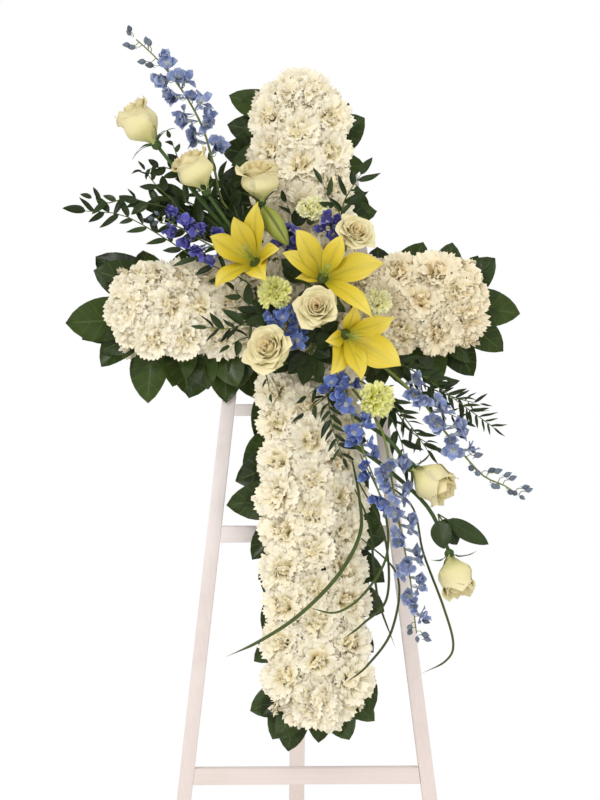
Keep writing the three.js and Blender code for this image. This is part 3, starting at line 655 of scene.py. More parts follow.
# %% The tray
TRAY_RIM, TRAY_DEPTH = 0.005, 0.006
tray = merged_copy("backing_board", "foam_tray")
out_of_back = Vector(lean_and_tilt @ Vector((0, 1, 0)))
bpy.ops.object.mode_set(mode="EDIT")
bpy.ops.mesh.select_all(action="DESELECT")
bpy.ops.object.mode_set(mode="OBJECT")
for face in tray.data.polygons:
    face.select = face.normal.dot(out_of_back) > 0.9
bpy.context.tool_settings.mesh_select_mode = (False, False, True)
bpy.ops.object.mode_set(mode="EDIT")
bpy.ops.mesh.dissolve_limited(angle_limit=math.radians(2))
bpy.ops.mesh.inset(thickness=TRAY_RIM)
bpy.ops.mesh.inset(thickness=0.001, depth=-TRAY_DEPTH)
bpy.ops.object.mode_set(mode="OBJECT")
softened(tray, 0.0012, 2, 30, "green plastic", FRONT_BODY, "backing_board")
print("faces in the tray:", len(tray.data.polygons))

# %% [markdown]
# ## White carnations
#
# A carnation is some forty petals on a green cup, set round it by the golden angle. Each petal is a
# narrow claw that opens into a fan with a frilled and toothed rim. The outer ones bend over until
# they lie flat, and the inner ones stand up and crowd each other, so the head is a ruffled dome. Six
# different heads are enough, because each copy is turned and sized for itself.

# %% One carnation petal
GOLDEN_ANGLE = math.radians(137.5)


def smooth_step(x):
    x = np.clip(x, 0, 1)
    return x * x * (3 - 2 * x)


def bent_line(length, start, end, s, late=2.2, count=24):
    """Reach, rise and slope along a line that bends from one slope to another, mostly late."""
    steps = np.linspace(0, 1, count + 1)
    slopes = start + (end - start) * steps**late
    between = (slopes[1:] + slopes[:-1]) / 2
    reach = np.concatenate(([0], np.cumsum(np.cos(between)))) / count
    rise = np.concatenate(([0], np.cumsum(np.sin(between)))) / count
    reach, rise, slope = (np.interp(s, steps, values) for values in (reach, rise, slopes))
    return length * reach, length * rise, slope


def carnation_petal(length, width, start, end, frill, phase, cells):
    def shape(s, t):
        s = s**0.75
        reach, rise, slope = bent_line(length, start, end, s)
        half = 0.5 * width * (0.14 + 0.86 * smooth_step(s) ** 0.8)
        back = 0.13 * length * s * t * t
        wave = np.sin(1.9 * np.pi * t + phase) + 0.55 * np.sin(4.6 * np.pi * t + 2.3 * phase)
        proud = frill * s**2 * wave + 0.05 * half * t * t
        tooth = np.where(s > 0.99, (np.round((t + 1) / 2 * cells) % 2 - 0.5) * 0.07 * length, 0)
        along = tooth - back
        return (
            reach + along * np.cos(slope) - proud * np.sin(slope),
            half * t,
            rise + along * np.sin(slope) + proud * np.cos(slope),
        )

    return shape


# %% One carnation head, from petals round a cup
CUP_HEIGHTS, CUP_RADII = (-21, -16, -6, 3), (2.5, 6, 7.5, 8.5)


def carnation_head(seed, petals=39, width=29.5, length=(28.0, 42.5), frill=2.6, cells=(4, 10), tilt=0.6):
    chance = random.Random(seed)
    forms = []
    for i in range(petals):
        q = math.sqrt((i + 0.5) / petals)
        heart = q < 0.4
        start = math.radians(92 - 30 * q)
        end = chance.uniform(115, 185) if heart else 24 - 46 * q + chance.uniform(-28, 28)
        reach = length[0] + (length[1] - length[0]) * q**1.4
        shape = carnation_petal(
            reach, width * chance.uniform(0.8, 1.15), start, math.radians(end),
            frill * chance.uniform(0.6, 1.4), chance.uniform(0, FULL_TURN), cells[1],
        )
        petal = shaped(flat_sheet(*cells), shape, chance.uniform(0, 0.65) + 0.35 * (1 - q) ** 2)
        outward = ray_at(i * GOLDEN_ANGLE + chance.uniform(-0.25, 0.25))
        roll = chance.uniform(-tilt, tilt) * (1 - 0.5 * q)
        twist = axes((0, math.sin(roll), math.cos(roll)), (1, 0, 0), chance.uniform(-tilt, tilt))
        forms.append(moved(petal, axes(OUTWARD, outward) @ twist, (1 + 5 * q) * outward))
    cup_line = np.array([(0, 0, height) for height in CUP_HEIGHTS])
    forms.append(tube(cup_line, CUP_RADII, 8, look=1))
    return joined(forms)


white_heads = [carnation_head(seed) for seed in range(6)]
print("triangles in a head:", int((white_heads[0].sizes - 2).sum()))

# %% [markdown]
# The heads stand in three rows along each beam. The middle row is highest, and the outer rows lean
# out so that the bed is rounded. At the free ends the last heads lean out along the beam as well,
# and the upright's ends are rounder than those of the arms.

# %% Where the heads stand: start, end, free ends, whether it lies, seed and finish
BEAMS = {
    "upright": (-611, 358, (0, 1), False, 3, "white petal"),
    "left_arm": (-287, -58, (0,), True, 5, "white petal"),
    "right_arm": (58, 270, (1,), True, 8, "warm white petal"),
}
HEAD_PITCH = 50
SIDE_ROW = 36
SIDE_HEIGHT, END_HEIGHT, MIDDLE_HEIGHT = 37, 40, 44
SIDE_LEAN, END_LEAN = 0.2, 0.25


def bed_of_heads(start, end, free_ends, rounding):
    """Heads as along, across, out, and how they lean. The more one leans, the farther in it stands."""
    count = round((end - start) / HEAD_PITCH)
    pitch = (end - start) / count
    heads = []
    for k in range(count):
        lean = SIDE_LEAN * ((k == count - 1 and 1 in free_ends) - (k == 0 and 0 in free_ends))
        inset = 15 + 8 * rounding if lean else 0
        along = start + (k + 0.5) * pitch - lean * (95 + 25 * rounding)
        for side in (-1, 1):
            heads.append((along, side * (SIDE_ROW - inset), SIDE_HEIGHT, lean, side * 0.5))
    for k in range(count + 1):
        at_start, at_end = k == 0 and 0 in free_ends, k == count and 1 in free_ends
        if 0 < k < count or at_start or at_end:
            lean = END_LEAN * (at_end - at_start)
            along = start + k * pitch - (156 + 16 * rounding) * lean
            heads.append((along, 0, END_HEIGHT if lean else MIDDLE_HEIGHT, lean, 0))
    return heads


def on_beam(lying, along, across):
    return (along, across) if lying else (across, along)


def bed_piece(name, start, end, free_ends, lying, seed, finish):
    chance = random.Random(seed)
    heads = [
        (
            along + chance.uniform(-4, 4), across + chance.uniform(-3, 3),
            out + chance.uniform(-2.5, 1.5), lean_along + chance.uniform(-0.13, 0.13),
            lean_across + chance.uniform(-0.13, 0.13),
        )
        for along, across, out, lean_along, lean_across in bed_of_heads(start, end, free_ends, not lying)
    ]
    forms = []
    for along, across, out, lean_along, lean_across in heads:
        head = chance.choice(white_heads)
        facing = (*on_beam(lying, lean_along, lean_across), 1)
        turn = axes(facing, (1, 0, 0), chance.uniform(0, FULL_TURN))
        place = (*on_beam(lying, along, across), out)
        forms.append(moved(head, turn, place, chance.uniform(0.93, 1.06)))
    make_piece(
        "carnations_" + name, forms, [finish, "green stem"],
        ["white_carnations_" + name],
    )


for name, beam in BEAMS.items():
    bed_piece(name, *beam)

# %% [markdown]
# Seen from the side, the flowers hang over the rim of the tray. So smaller heads, made with fewer
# petals, stand lower down along the edges of each beam and face outwards between the leaves.

# %% The lower heads along the edges
RIM_PITCH, RIM_ROW, RIM_HEIGHT = 32, 45, 30
rim_heads = [carnation_head(seed, 25, 25.0, (18.0, 28.0), 2.2, (3, 7)) for seed in (31, 32, 33)]


def rim_of_heads(name, start, end, free_ends, lying, finish):
    chance = random.Random(name)
    rounding = not lying
    corner = 43 + 12 * rounding
    first, last = start + corner * (0 in free_ends), end - corner * (1 in free_ends)
    places = [
        (along, side * RIM_ROW, 0.0, side)
        for along in np.linspace(first, last, round((last - first) / RIM_PITCH))
        for side in (-1, 1)
    ]
    inset = 34 + 4 * rounding
    for free, row, outward in ((0, start + inset, -1), (1, end - inset, 1)):
        if free in free_ends:
            for across in (-30, -10, 10, 30):
                along = row - 0.3 * outward * abs(across)
                places.append((along, across * (1 - 0.17 * rounding), outward, 0.025 * across))
    forms = []
    for along, across, lean_along, lean_across in places:
        facing = (*on_beam(lying, lean_along, lean_across), 0.25 + chance.uniform(-0.1, 0.2))
        turn = axes(facing, OUTWARD, chance.uniform(0, FULL_TURN))
        place = (*on_beam(lying, along, across), RIM_HEIGHT + chance.uniform(-2, 2))
        forms.append(moved(chance.choice(rim_heads), turn, place, chance.uniform(0.9, 1.05)))
    make_piece(name, forms, [finish, "green stem"])


for name, (start, end, free_ends, lying, _, finish) in BEAMS.items():
    rim_of_heads(f"carnations_{name}_rim", start, end, free_ends, lying, finish)

# %% [markdown]
# ## The dark leaves round the edge
#
# Broad leathery leaves stand out all round the cross, their stalks pushed into the foam under the
# flowers. A leaf is widest a little below its middle and ends in a point. It is folded slightly
# along its midrib, its edge waves, and its tip bends back.

# %% One broad leaf


def leaf_shape(length, width, fold, droop, wave, phase=0.0, middle=0.45, point=1.45):
    """A leaf with its root at 0, along x, its face to z. point says how sharp its ends are."""
    near, far = point * middle, point * (1 - middle)
    peak = middle**near * (1 - middle)**far

    def shape(s, t):
        half = 0.5 * width * (s**near * (1 - s)**far / peak)
        bend = droop * length * s * s
        proud = fold * half * np.abs(t) ** 1.2 + wave * np.abs(t) * np.sin(9 * s + 3 * t + phase)
        return length * s - 0.25 * bend * s, half * t, proud - bend

    return shape


def leaf(chance, length, width, sheet=(10, 6), look=0, **settings):
    chosen = {
        "fold": chance.uniform(0.1, 0.35), "droop": chance.uniform(0.0, 0.22),
        "wave": 0.018 * length, "phase": chance.uniform(0, FULL_TURN),
    }
    chosen.update(settings)
    return shaped(flat_sheet(*sheet), leaf_shape(length, width, **chosen), chance.random(), look)


# %% Where the edge leaves stand: across, up, degrees from the right, and length
EDGE_LEAVES = {
    "edge_leaves_top": [
        (-44, 306, 156, 62), (-42, 268, 164, 66), (-46, 232, 168, 72), (-46, 196, 172, 76),
        (-46, 160, 178, 74), (-46, 128, 196, 62), (2, 326, 72, 40), (42, 282, 46, 54),
        (50, 254, 34, 62), (50, 214, 4, 48), (50, 176, -24, 60), (50, 140, 12, 66),
    ],
    "edge_leaves_left": [
        (-236, 42, 140, 88), (-222, 44, 98, 58), (-172, 44, 84, 60), (-120, 42, 62, 62),
        (-262, -10, 184, 84), (-256, -40, 222, 56), (-222, -64, 262, 70), (-180, -62, 280, 66),
        (-150, -62, 254, 70), (-118, -62, 272, 72), (-92, -62, 286, 70),
    ],
    "edge_leaves_right": [
        (112, 44, 92, 54), (152, 46, 66, 60), (206, 46, 74, 50), (236, 30, 40, 62),
        (250, -4, 350, 66), (244, -34, 318, 56), (214, -56, 300, 56), (176, -58, 278, 64),
        (136, -58, 262, 54), (100, -58, 272, 66),
    ],
    "edge_leaves_lower": [
        (-46, -126, 250, 74), (-48, -196, 226, 70), (-48, -226, 206, 66), (-50, -276, 186, 72),
        (-46, -318, 228, 60), (-50, -372, 236, 46), (-50, -428, 236, 46), (-50, -480, 214, 46),
        (-50, -556, 204, 50), (-40, -572, 238, 50), (-34, -580, 262, 54), (2, -580, 268, 42),
        (26, -578, 292, 46), (44, -562, 320, 48), (50, -530, 300, 56), (50, -470, 318, 42),
        (52, -416, 330, 56), (52, -366, 324, 60), (52, -326, 348, 60), (52, -282, 322, 60),
        (50, -236, 320, 46), (48, -190, 324, 46),
    ],
}
HIDDEN_STALK = 26

for node, leaves in EDGE_LEAVES.items():
    chance = random.Random(node)
    forms = []
    for index, (across, up, degrees, length) in enumerate(leaves):
        for copy in range(2):
            angle = math.radians(degrees + copy * chance.uniform(14, 26) * chance.choice((-1, 1)))
            out = 18 + 2.7 * (index % 3) + 5 * copy
            reach = (length + HIDDEN_STALK) * (1 - 0.14 * copy)
            direction = (math.cos(angle), math.sin(angle), chance.uniform(-0.12, 0.16))
            blade = leaf(chance, reach, 0.56 * reach * chance.uniform(0.95, 1.15))
            root = np.array((across, up, out)) - HIDDEN_STALK * ray_at(angle)
            turn = along_axes(direction, OUTWARD, chance.uniform(-0.35, 0.35))
            forms.append(moved(blade, turn, root))
    make_piece(node + "_glossy", forms, ["edge leaf"], [node])

# %% [markdown]
# ## Roses
#
# A rose is petals wrapped round each other in a spiral. The inner ones are tall, narrow and close
# over the middle, and the outer ones are wide and roll their rims outwards. A round hip and five
# sepals hold them, and the stem runs back into the foam.

# %% Each rose: its base, the way it faces, its stem's root and route, length, width and how open
FOAM_HEIGHT = 57


def rooted(across, up):
    return (across, up, FOAM_HEIGHT)


ROSES = {
    "rose_upper_left": (
        (-208, 226, 112), (-0.6, 0.76, 0.26), (-88, 84), [(-142, 138, 104)], 72, 61, 0.15,
    ),
    "rose_upper_middle": (
        (-138, 151, 124), (-0.45, 0.82, 0.36), (-64, 60), [(-100, 96, 106)], 64, 60, 0.25,
    ),
    "rose_upper": ((-60, 138, 108), (-0.04, 0.86, 0.5), (-50, 112), [], 62, 62, 0.35),
    "rose_middle": ((17, -30, 100), (-0.1, 0.12, 1), (14, -26), [], 50, 56, 0.5),
    "rose_lower_left": ((-42, -88, 96), (-0.42, 0.22, 0.9), (-46, -85), [], 52, 64, 0.5),
    "rose_upper_right": ((62, 80, 90), (0.4, 0.3, 0.9), (60, 78), [], 42, 50, 0.6),
    "rose_hanging_upper": (
        (139, -254, 112), (0.72, -0.6, 0.22), (66, -168), [(108, -212, 106)], 68, 62, 0.05,
    ),
    "rose_hanging_lower": (
        (184, -377, 116), (0.2, -0.95, 0.16), (56, -204), [(104, -250, 94), (158, -306, 98)],
        62, 56, -0.1,
    ),
}

# %% A rose petal, wrapped round the bloom's axis


def rose_petal(radius, height, half_angle, close, lip, phase, lift):
    def shape(s, t):
        belly = 0.24 + 0.76 * smooth_step(s / 0.5)
        shut = 1 - close * smooth_step((s - 0.42) / 0.58)
        rolled = smooth_step((s - 0.66) / 0.34) ** 2
        corner = np.sqrt(1 - (0.94 * np.clip(2 * s - 1, 0, 1)) ** 3.2)
        angle = half_angle * t * ((0.3 + 0.7 * smooth_step(s / 0.5)) * corner)
        ripple = 0.03 * radius * s**3 * np.sin(5 * t + phase)
        flare = 0.6 * lip * rolled * np.abs(t)
        out = radius * belly * shut + lip * rolled + lift * t * s + ripple + flare
        point = 0.05 * height * np.exp(-((t / 0.22) ** 2)) * s**6
        up = height * (s - 0.13 * s**2 * t * t - 0.12 * lip / max(radius, 1) * rolled) + point
        return out * np.cos(angle), out * np.sin(angle), up

    return shape


def rose_bloom(length, width, opening, seed, petals=24):
    """q runs from 0 at the heart to 1 at the outer petals."""
    chance = random.Random(seed)
    forms = []
    for i in range(petals):
        q = i / (petals - 1)
        outer = max(0, q - 0.35)
        tallness = 0.97 - 0.05 * q - 0.2 * (1 - q) * max(0, 0.5 - opening)
        rolling = 0.015 + 0.06 * max(0, opening) + 0.17 * outer * (0.6 + opening)
        shape = rose_petal(
            0.5 * width * (0.12 + 0.78 * q**0.9),
            length * tallness * (1 - 0.3 * opening * outer),
            math.radians(150 - 74 * q),
            (0.66 - 0.48 * q) * (1 - 0.4 * opening) + 0.05,
            width * rolling * chance.uniform(0.75, 1.25),
            chance.uniform(0, FULL_TURN),
            0.03 * width * (1 - 0.4 * q),
        )
        petal = shaped(flat_sheet(12, 8), shape, 0.9 * (1 - q) + 0.1 * chance.random())
        outward = ray_at(i * GOLDEN_ANGLE + chance.uniform(-0.12, 0.12))
        forms.append(moved(petal, axes(OUTWARD, outward)))
    return joined(forms)


# %% The hip, the sepals and the stem
HIP_HEIGHTS = (-1.0, -0.85, -0.5, -0.1, 0.15, 0.25)
HIP_RADII = (0.42, 0.7, 1.0, 0.95, 0.8, 0.4)


def sepals(radius, length, rise, seed, count=5):
    """Narrow leaves round a flower's base. rise is the angle above the horizontal at the root."""
    chance = random.Random(seed)
    forms = []
    for i in range(count):
        angle = 2 * math.pi * i / count + chance.uniform(-0.15, 0.15)
        slope = math.radians(rise + chance.uniform(-14, 14))
        outward, direction, facing = opened_out(angle, slope)
        blade = leaf(chance, length * chance.uniform(0.8, 1.1), 0.24 * length, (7, 3), 1,
                     middle=0.28, droop=chance.uniform(0.1, 0.5), fold=0.4)
        forms.append(moved(blade, along_axes(direction, facing), outward * radius))
    return joined(forms)


def rose(name, at, face, root, route, length, width, opening):
    chance = random.Random(name)
    at, face = np.array(at, float), unit(face)
    turn = axes(face, OUTWARD, chance.uniform(0, FULL_TURN))
    hip_line = np.array([(0, 0, height * (0.14 * length)) for height in HIP_HEIGHTS])
    parts = [
        rose_bloom(length, width, opening, name),
        sepals(0.11 * width, 0.5 * length, 38, name),
        tube(hip_line, 0.125 * width * np.array(HIP_RADII), 10, 1),
    ]
    route = [rooted(*root), *route, at - 0.14 * length * face]
    forms = [moved(part, turn, at) for part in parts]
    forms.append(stem(route, 16, np.linspace(3.2, 2.6, 16), 8, 1))
    make_piece(name + "_bloom", forms, ["rose petal", "sepal"], [name])


for name, facts in ROSES.items():
    rose(name, *facts)

# %% [markdown]
# ## Green carnations
#
# Four lime green carnations stand higher than the white ones, so they are seen whole: a frilled
# ball on its cup. They have more petals than a white head, and narrower ones.

# %% Green carnations
GREEN_CARNATIONS = {
    "green_carnation_top": ((12, 122, 86), (0.1, 0.5, 1), 28, "pale lime petal"),
    "green_carnation_left": ((-41, 5, 92), (-0.3, -0.05, 1), 29, "lime petal"),
    "green_carnation_lower": ((89, -152, 94), (0.3, -0.2, 1), 31, "lime petal"),
    "green_carnation_right": ((98, -10, 84), (0.4, 0, 1), 25, "pale lime petal"),
}
MADE_RADIUS = 30
for name, (at, face, radius, finish) in GREEN_CARNATIONS.items():
    head = carnation_head(name, 64, 14, (19, 29), 2.0, (5, 8), 0.7)
    head = moved(head, axes(face, (1, 0, 0)), at, radius / MADE_RADIUS)
    make_piece(name + "_bloom", [head], [finish, "green stem"], [name])

# %% [markdown]
# ## Lilies
#
# A lily has three wide petals and, behind them, three narrower sepals of the same colour. Each runs
# from the throat, has a groove along its middle and a waved margin, and bends back at the tip. The
# florist has taken the anthers off, so only thin filaments and the green pistil stand in the throat.

# %% Each lily: its throat, the way it faces, and its tips: across, up, out, width
LILIES = {
    "lily_left": ((-72, 48, 112), (-0.42, 0.3, 0.85), [
        (-136, 79, 146, 32), (-101, 108, 140, 28), (-66, 127, 146, 30),
        (-38, 53, 160, 28), (-58, 11, 148, 32), (-131, 7, 120, 28),
    ]),
    "lily_middle": ((24, 22, 112), (0.08, 0.12, 1), [
        (-34, 52, 146, 26), (-13, 88, 142, 32), (52, 74, 152, 26),
        (111, 33, 146, 38), (90, -50, 166, 26), (-16, 18, 126, 14),
    ]),
    "lily_right": ((54, -62, 114), (0.36, -0.34, 0.86), [
        (24, -77, 138, 22), (31, -123, 130, 30), (73, -132, 128, 28),
        (129, -115, 138, 42), (122, -44, 136, 26), (66, -24, 138, 22),
    ]),
}

# %% A lily petal, along a line that bends back at its tip


def lily_petal(throat, axis, tip, width, seed):
    chance = random.Random(seed)
    reach = tip - throat
    length = np.linalg.norm(reach)
    out = unit(reach - np.dot(reach, axis) * axis)
    start = throat + 3 * out - 8 * axis
    shoulder = throat + 0.42 * length * axis + 0.42 * length * out
    recurve = 0.1 * length * chance.uniform(0.3, 1.1)
    phase = chance.uniform(0, FULL_TURN)

    def shape(s, t):
        f, s_col = (1 - s)[:, None], s[:, None]
        line = f**2 * start + 2 * f * s_col * shoulder + s_col**2 * tip
        line = line - recurve * (np.clip(s_col - 0.75, 0, 1) / 0.25) ** 2 * axis
        tangent = -2 * f * start + 2 * (1 - 2 * s_col) * shoulder + 2 * s_col * tip
        tangent /= np.linalg.norm(tangent, axis=1)[:, None]
        side = np.cross(axis, tangent)
        side /= np.linalg.norm(side, axis=1)[:, None]
        normal = np.cross(tangent, side)
        half = 2.2 * (1 - s) + 0.52 * width * np.sin(np.pi * np.clip(s, 0, 1) ** 1.05) ** 1.15
        groove = -1.3 * np.exp(-((t / 0.12) ** 2)) * np.sin(np.pi * s)
        cup = 0.2 * half * t * t
        wave = 0.06 * width * np.abs(t) ** 3 * np.sin(11 * s + 2 * t + phase)
        return (line + side * (half * t)[:, None] + normal * (cup + groove + wave)[:, None]).T

    return shaped(flat_sheet(18, 10), shape, chance.random())


def lily(name, throat, face, tips):
    throat, axis = np.array(throat, float), unit(face)
    forms = []
    for i, (*tip, width) in enumerate(tips):
        base = throat - 2.5 * axis if i % 2 else throat
        forms.append(lily_petal(base, axis, np.array(tip, float), width, f"{name} {i}"))
    chance = random.Random(name)
    side = axes(axis)
    for i in range(6):
        angle = 2 * math.pi * i / 6 + 0.3
        away = side[:, 0] * math.cos(angle) + side[:, 1] * math.sin(angle)
        tip = throat + 34 * axis + chance.uniform(8, 14) * away
        filament = [throat - 6 * axis, throat + 14 * axis + 3 * away, tip]
        forms.append(stem(filament, 7, np.linspace(0.9, 0.5, 7), 5, 1))
    pistil = [throat - 6 * axis, throat + 22 * axis, throat + 42 * axis + 4 * side[:, 0]]
    forms.append(stem(pistil, 8, (1.5, 1.4, 1.3, 1.2, 1.2, 1.3, 2.6, 2.0), 6, 1))
    neck = np.array([throat - depth * axis for depth in (38, 22, 10, 2)])
    forms.append(tube(neck, (3, 3.2, 6, 8), 8, 2))
    looks = ["lily petal", "throat green", "green stem"]
    make_piece(name + "_bloom", forms, looks, [name])


for name, facts in LILIES.items():
    lily(name, *facts)

# %% [markdown]
# The bud that has not opened is a long three-sided spindle. Its petals meet along seams, which show
# as dark grooves.

# %% The lily bud
BUD_WIDTH, BUD_SIDES, SEAM_DEPTH, SEAM_TONE = 12.6, 24, 0.86, -0.6
bud_from, bud_to = np.array((-58, 128, 112.0)), np.array((-24, 66, 128.0))
stations = np.linspace(0, 1, 18)
bud_line = bud_from + stations[:, None] * (bud_to - bud_from)
bud = tube(bud_line, 1.2 + BUD_WIDTH * np.sin(np.pi * stations**0.85) ** 0.8, BUD_SIDES)
seam = np.abs((3 * bud.uv[:, 1]) % 1 - 0.5) < 0.05
middle = bud_from + bud.uv[:, :1] * (bud_to - bud_from)
bud = bud._replace(
    points=middle + (bud.points - middle) * np.where(seam, SEAM_DEPTH, 1.02)[:, None],
    tone=np.where(seam, SEAM_TONE, 0.7),
)
stalk = stem([rooted(-50, 118), (-56, 124, 92), bud_to + (bud_from - bud_to) * 0.98], 8, 2.4, 6, 1)
make_piece("lily_bud_closed", [bud, stalk], ["lily bud", "green stem"], ["lily_bud"])

# %% [markdown]
# ## Delphiniums
#
# A delphinium is a tall stem with florets in a spiral. A floret is five rounded sepals round a small
# pale eye, with a spur behind and a thin stalk of its own. Towards the tip the florets are smaller,
# and then they are closed buds.

# %% One floret and one bud


def floret_form(seed, opened):
    """A floret one unit across its sepals, facing z, its stalk to be added."""
    chance = random.Random(seed)
    forms = []
    for i in range(5):
        angle = 2 * math.pi * i / 5 + chance.uniform(-0.15, 0.15)
        slope = math.radians(chance.uniform(5, 50) + 55 * (1 - opened))
        outward, direction, facing = opened_out(angle, slope)
        shape = leaf_shape(
            chance.uniform(0.5, 0.64), chance.uniform(0.4, 0.54), fold=0.45, wave=0.05,
            droop=chance.uniform(-0.3, 0.3), phase=chance.uniform(0, 6), middle=0.56, point=1.1,
        )
        sepal = shaped(flat_sheet(5, 4), shape, chance.random())
        turn = along_axes(direction, facing, chance.uniform(-0.5, 0.5))
        forms.append(moved(sepal, turn, outward * 0.03))
    for i in range(4):
        outward = ray_at(2 * math.pi * i / 4 + 0.4)
        shape = leaf_shape(0.2, 0.12, fold=0.3, droop=0.1, wave=0)
        eye = shaped(flat_sheet(3, 2), shape, chance.random(), 1)
        forms.append(moved(eye, along_axes(outward * 0.5 + OUTWARD, -outward), outward * 0.03))
    spur = [(0, 0, 0.04), (0.05, 0, -0.2), (0.16, 0, -0.42)]
    forms.append(stem(spur, 5, (0.09, 0.075, 0.05, 0.035, 0.015)))
    return joined(forms)


def bud_form(seed):
    stations = np.linspace(0, 1, 7)
    line = np.column_stack((0.1 * stations**2, 0 * stations, stations))
    body = tube(line, 0.02 + 0.31 * np.sin(np.pi * stations**0.8), 8, 3, random.Random(seed).random())
    spur = [(0, 0, 0.3), (-0.2, 0, 0.05), (-0.34, 0, -0.12)]
    return joined([body, stem(spur, 4, (0.1, 0.07, 0.04, 0.015), 5, 3)])


open_florets = [floret_form(seed, 1.0 - 0.16 * (seed % 4)) for seed in range(8)]
closed_buds = [bud_form(seed) for seed in range(3)]

# %% Each stem: root, route, how many florets and buds, size, reach, where they begin, and finish
DELPHINIUMS = {
    "delphinium_upper_left": ((-58, 92), [
        (-112, 140, 88), (-124, 190, 90), (-137, 241, 106), (-155, 277, 125), (-178, 314, 128),
        (-206, 350, 130), (-240, 384, 130),
    ], 19, 7, 34, 17, 0.3, "pale blue petal"),
    "delphinium_left": ((-88, 46), [
        (-98, 52, 98), (-128, 72, 104), (-164, 94, 104), (-206, 122, 108),
    ], 15, 2, 30, 15, 0.42, "violet petal"),
    "delphinium_right": ((62, -66), [
        (112, -112, 100), (158, -162, 110), (181, -198, 116), (208, -237, 122), (235, -270, 126),
        (262, -284, 128), (284, -300, 128),
    ], 12, 13, 32, 14, 0.2, "pale blue petal"),
    "delphinium_hanging_inner": ((36, -100), [
        (50, -134, 102), (60, -190, 108), (72, -230, 112), (88, -280, 118), (96, -318, 120),
    ], 15, 1, 30, 12, 0.16, "blue petal"),
    "delphinium_hanging_outer": ((64, -128), [
        (98, -196, 106), (108, -262, 114), (114, -318, 122), (121, -366, 128), (127, -414, 134),
        (130, -464, 138), (132, -490, 140),
    ], 20, 5, 32, 13, 0.22, "pale blue petal"),
}


def blue_piece(name, forms, finish, node):
    looks = [finish, "pale eye", "pale stem", "delphinium bud"]
    make_piece(name, forms, looks, [node])


def spike(name, root, route, florets, buds, size, reach, first, finish):
    chance = random.Random(name)
    line = smooth_line([rooted(*root), *route], 60)
    directions = tangents(line)
    forms = [tube(line[::3], np.linspace(2.2, 0.9, 20), 6, 2)]
    total, end = florets + buds, len(line) - 1
    for i in range(total):
        at = min(int((first + (1 - first) * (i + 0.6) / total) * end), end - 1)
        along = directions[at]
        frontal = unit(OUTWARD - along[2] * along)
        angle = (i % 4 - 1.5) * 0.95 * (-1) ** i + chance.uniform(-0.4, 0.4)
        outward = frontal * math.cos(angle) + np.cross(along, frontal) * math.sin(angle)
        small = 1 - 0.3 * i / total
        stretch = reach * small * chance.uniform(0.75, 1.15)
        away = unit(outward + 0.45 * along)
        seat = line[at] + away * stretch
        forms.append(stem([line[at], line[at] + 0.6 * stretch * outward, seat], 5, 0.6, 4, 2))
        if i < florets:
            facing = unit(outward + 0.35 * OUTWARD + 0.25 * along)
            bloom = chance.choice(open_florets)
            turn = axes(facing, -away, chance.uniform(-0.5, 0.5))
            forms.append(moved(bloom, turn, seat, size * small * chance.uniform(0.88, 1.12)))
        else:
            turn = axes(unit(outward + 0.7 * along), -away)
            forms.append(moved(chance.choice(closed_buds), turn, seat, 0.5 * size * small))
    forms.append(moved(closed_buds[0], axes(directions[-1]), line[-1] - 2 * directions[-1], 0.3 * size))
    blue_piece(name + "_spike", forms, finish, name)


for name, facts in DELPHINIUMS.items():
    spike(name, *facts)

# %% Short clusters in the middle of the spray: place, floret size, how many, spread and finish
CLUSTERS = {
    "florets_middle": ((-26, -40, 104), 28, 11, 26, "blue petal"),
    "florets_upper_right": ((39, 97, 110), 24, 7, 16, "violet petal"),
    "florets_upper_middle": ((-22, 78, 102), 24, 7, 18, "violet petal"),
    "florets_lower": ((38, -136, 112), 26, 5, 15, "blue petal"),
}
for name, (at, size, count, spread, finish) in CLUSTERS.items():
    chance = random.Random(name)
    centre = np.array(at, float)
    fork = centre - (0, 0, 8)
    forms = [stem([rooted(*at[:2]), fork], 4, 2.0, 6, 2)]
    for i in range(count):
        q = math.sqrt((i + 0.5) / count)
        offset = spread * q * ray_at(i * GOLDEN_ANGLE)
        seat = centre + offset + (0, 0, 6 * (1 - q * q) - 6)
        facing = unit(offset / spread * 0.9 + OUTWARD)
        turn = axes(facing, (1, 0, 0), chance.uniform(0, FULL_TURN))
        forms.append(stem([fork, seat - 3 * facing], 4, 0.6, 4, 2))
        forms.append(moved(chance.choice(open_florets), turn, seat, size * chance.uniform(0.85, 1.1)))
    blue_piece(name + "_open", forms, finish, name)

# %% [markdown]
# ## Ruscus and broad leaves
#
# Ruscus is a thin stem with stiff narrow leaves in two rows. Longer sprays of it reach out of both
# sides, and short pieces fill the middle. Broad leaves fill what is left between the flowers.

# %% Sprigs of ruscus: root, route, how many leaves, their length and width
SPRIGS = {
    "ruscus_left": ((-66, 16), [
        (-92, 30, 92), (-150, 58, 92), (-204, 94, 96), (-256, 122, 106), (-308, 128, 110),
    ], 19, 40, 13),
    "ruscus_middle_left": ((-62, -36), [(-88, -40, 98), (-112, -46, 100), (-140, -44, 102)], 9, 40, 13),
    "ruscus_right": ((66, -74), [
        (110, -92, 94), (164, -122, 92), (216, -164, 94), (256, -196, 96),
    ], 34, 36, 8),
    "ruscus_top_right": ((54, 108), [(58, 134, 96), (70, 156, 98), (84, 176, 100)], 7, 42, 15),
    "ruscus_lower": ((20, -120), [(26, -150, 98), (30, -190, 102), (44, -236, 104)], 16, 32, 10),
    "ruscus_lower_right": ((68, -112), [(108, -148, 92), (138, -186, 90), (162, -224, 90)], 12, 38, 9),
}

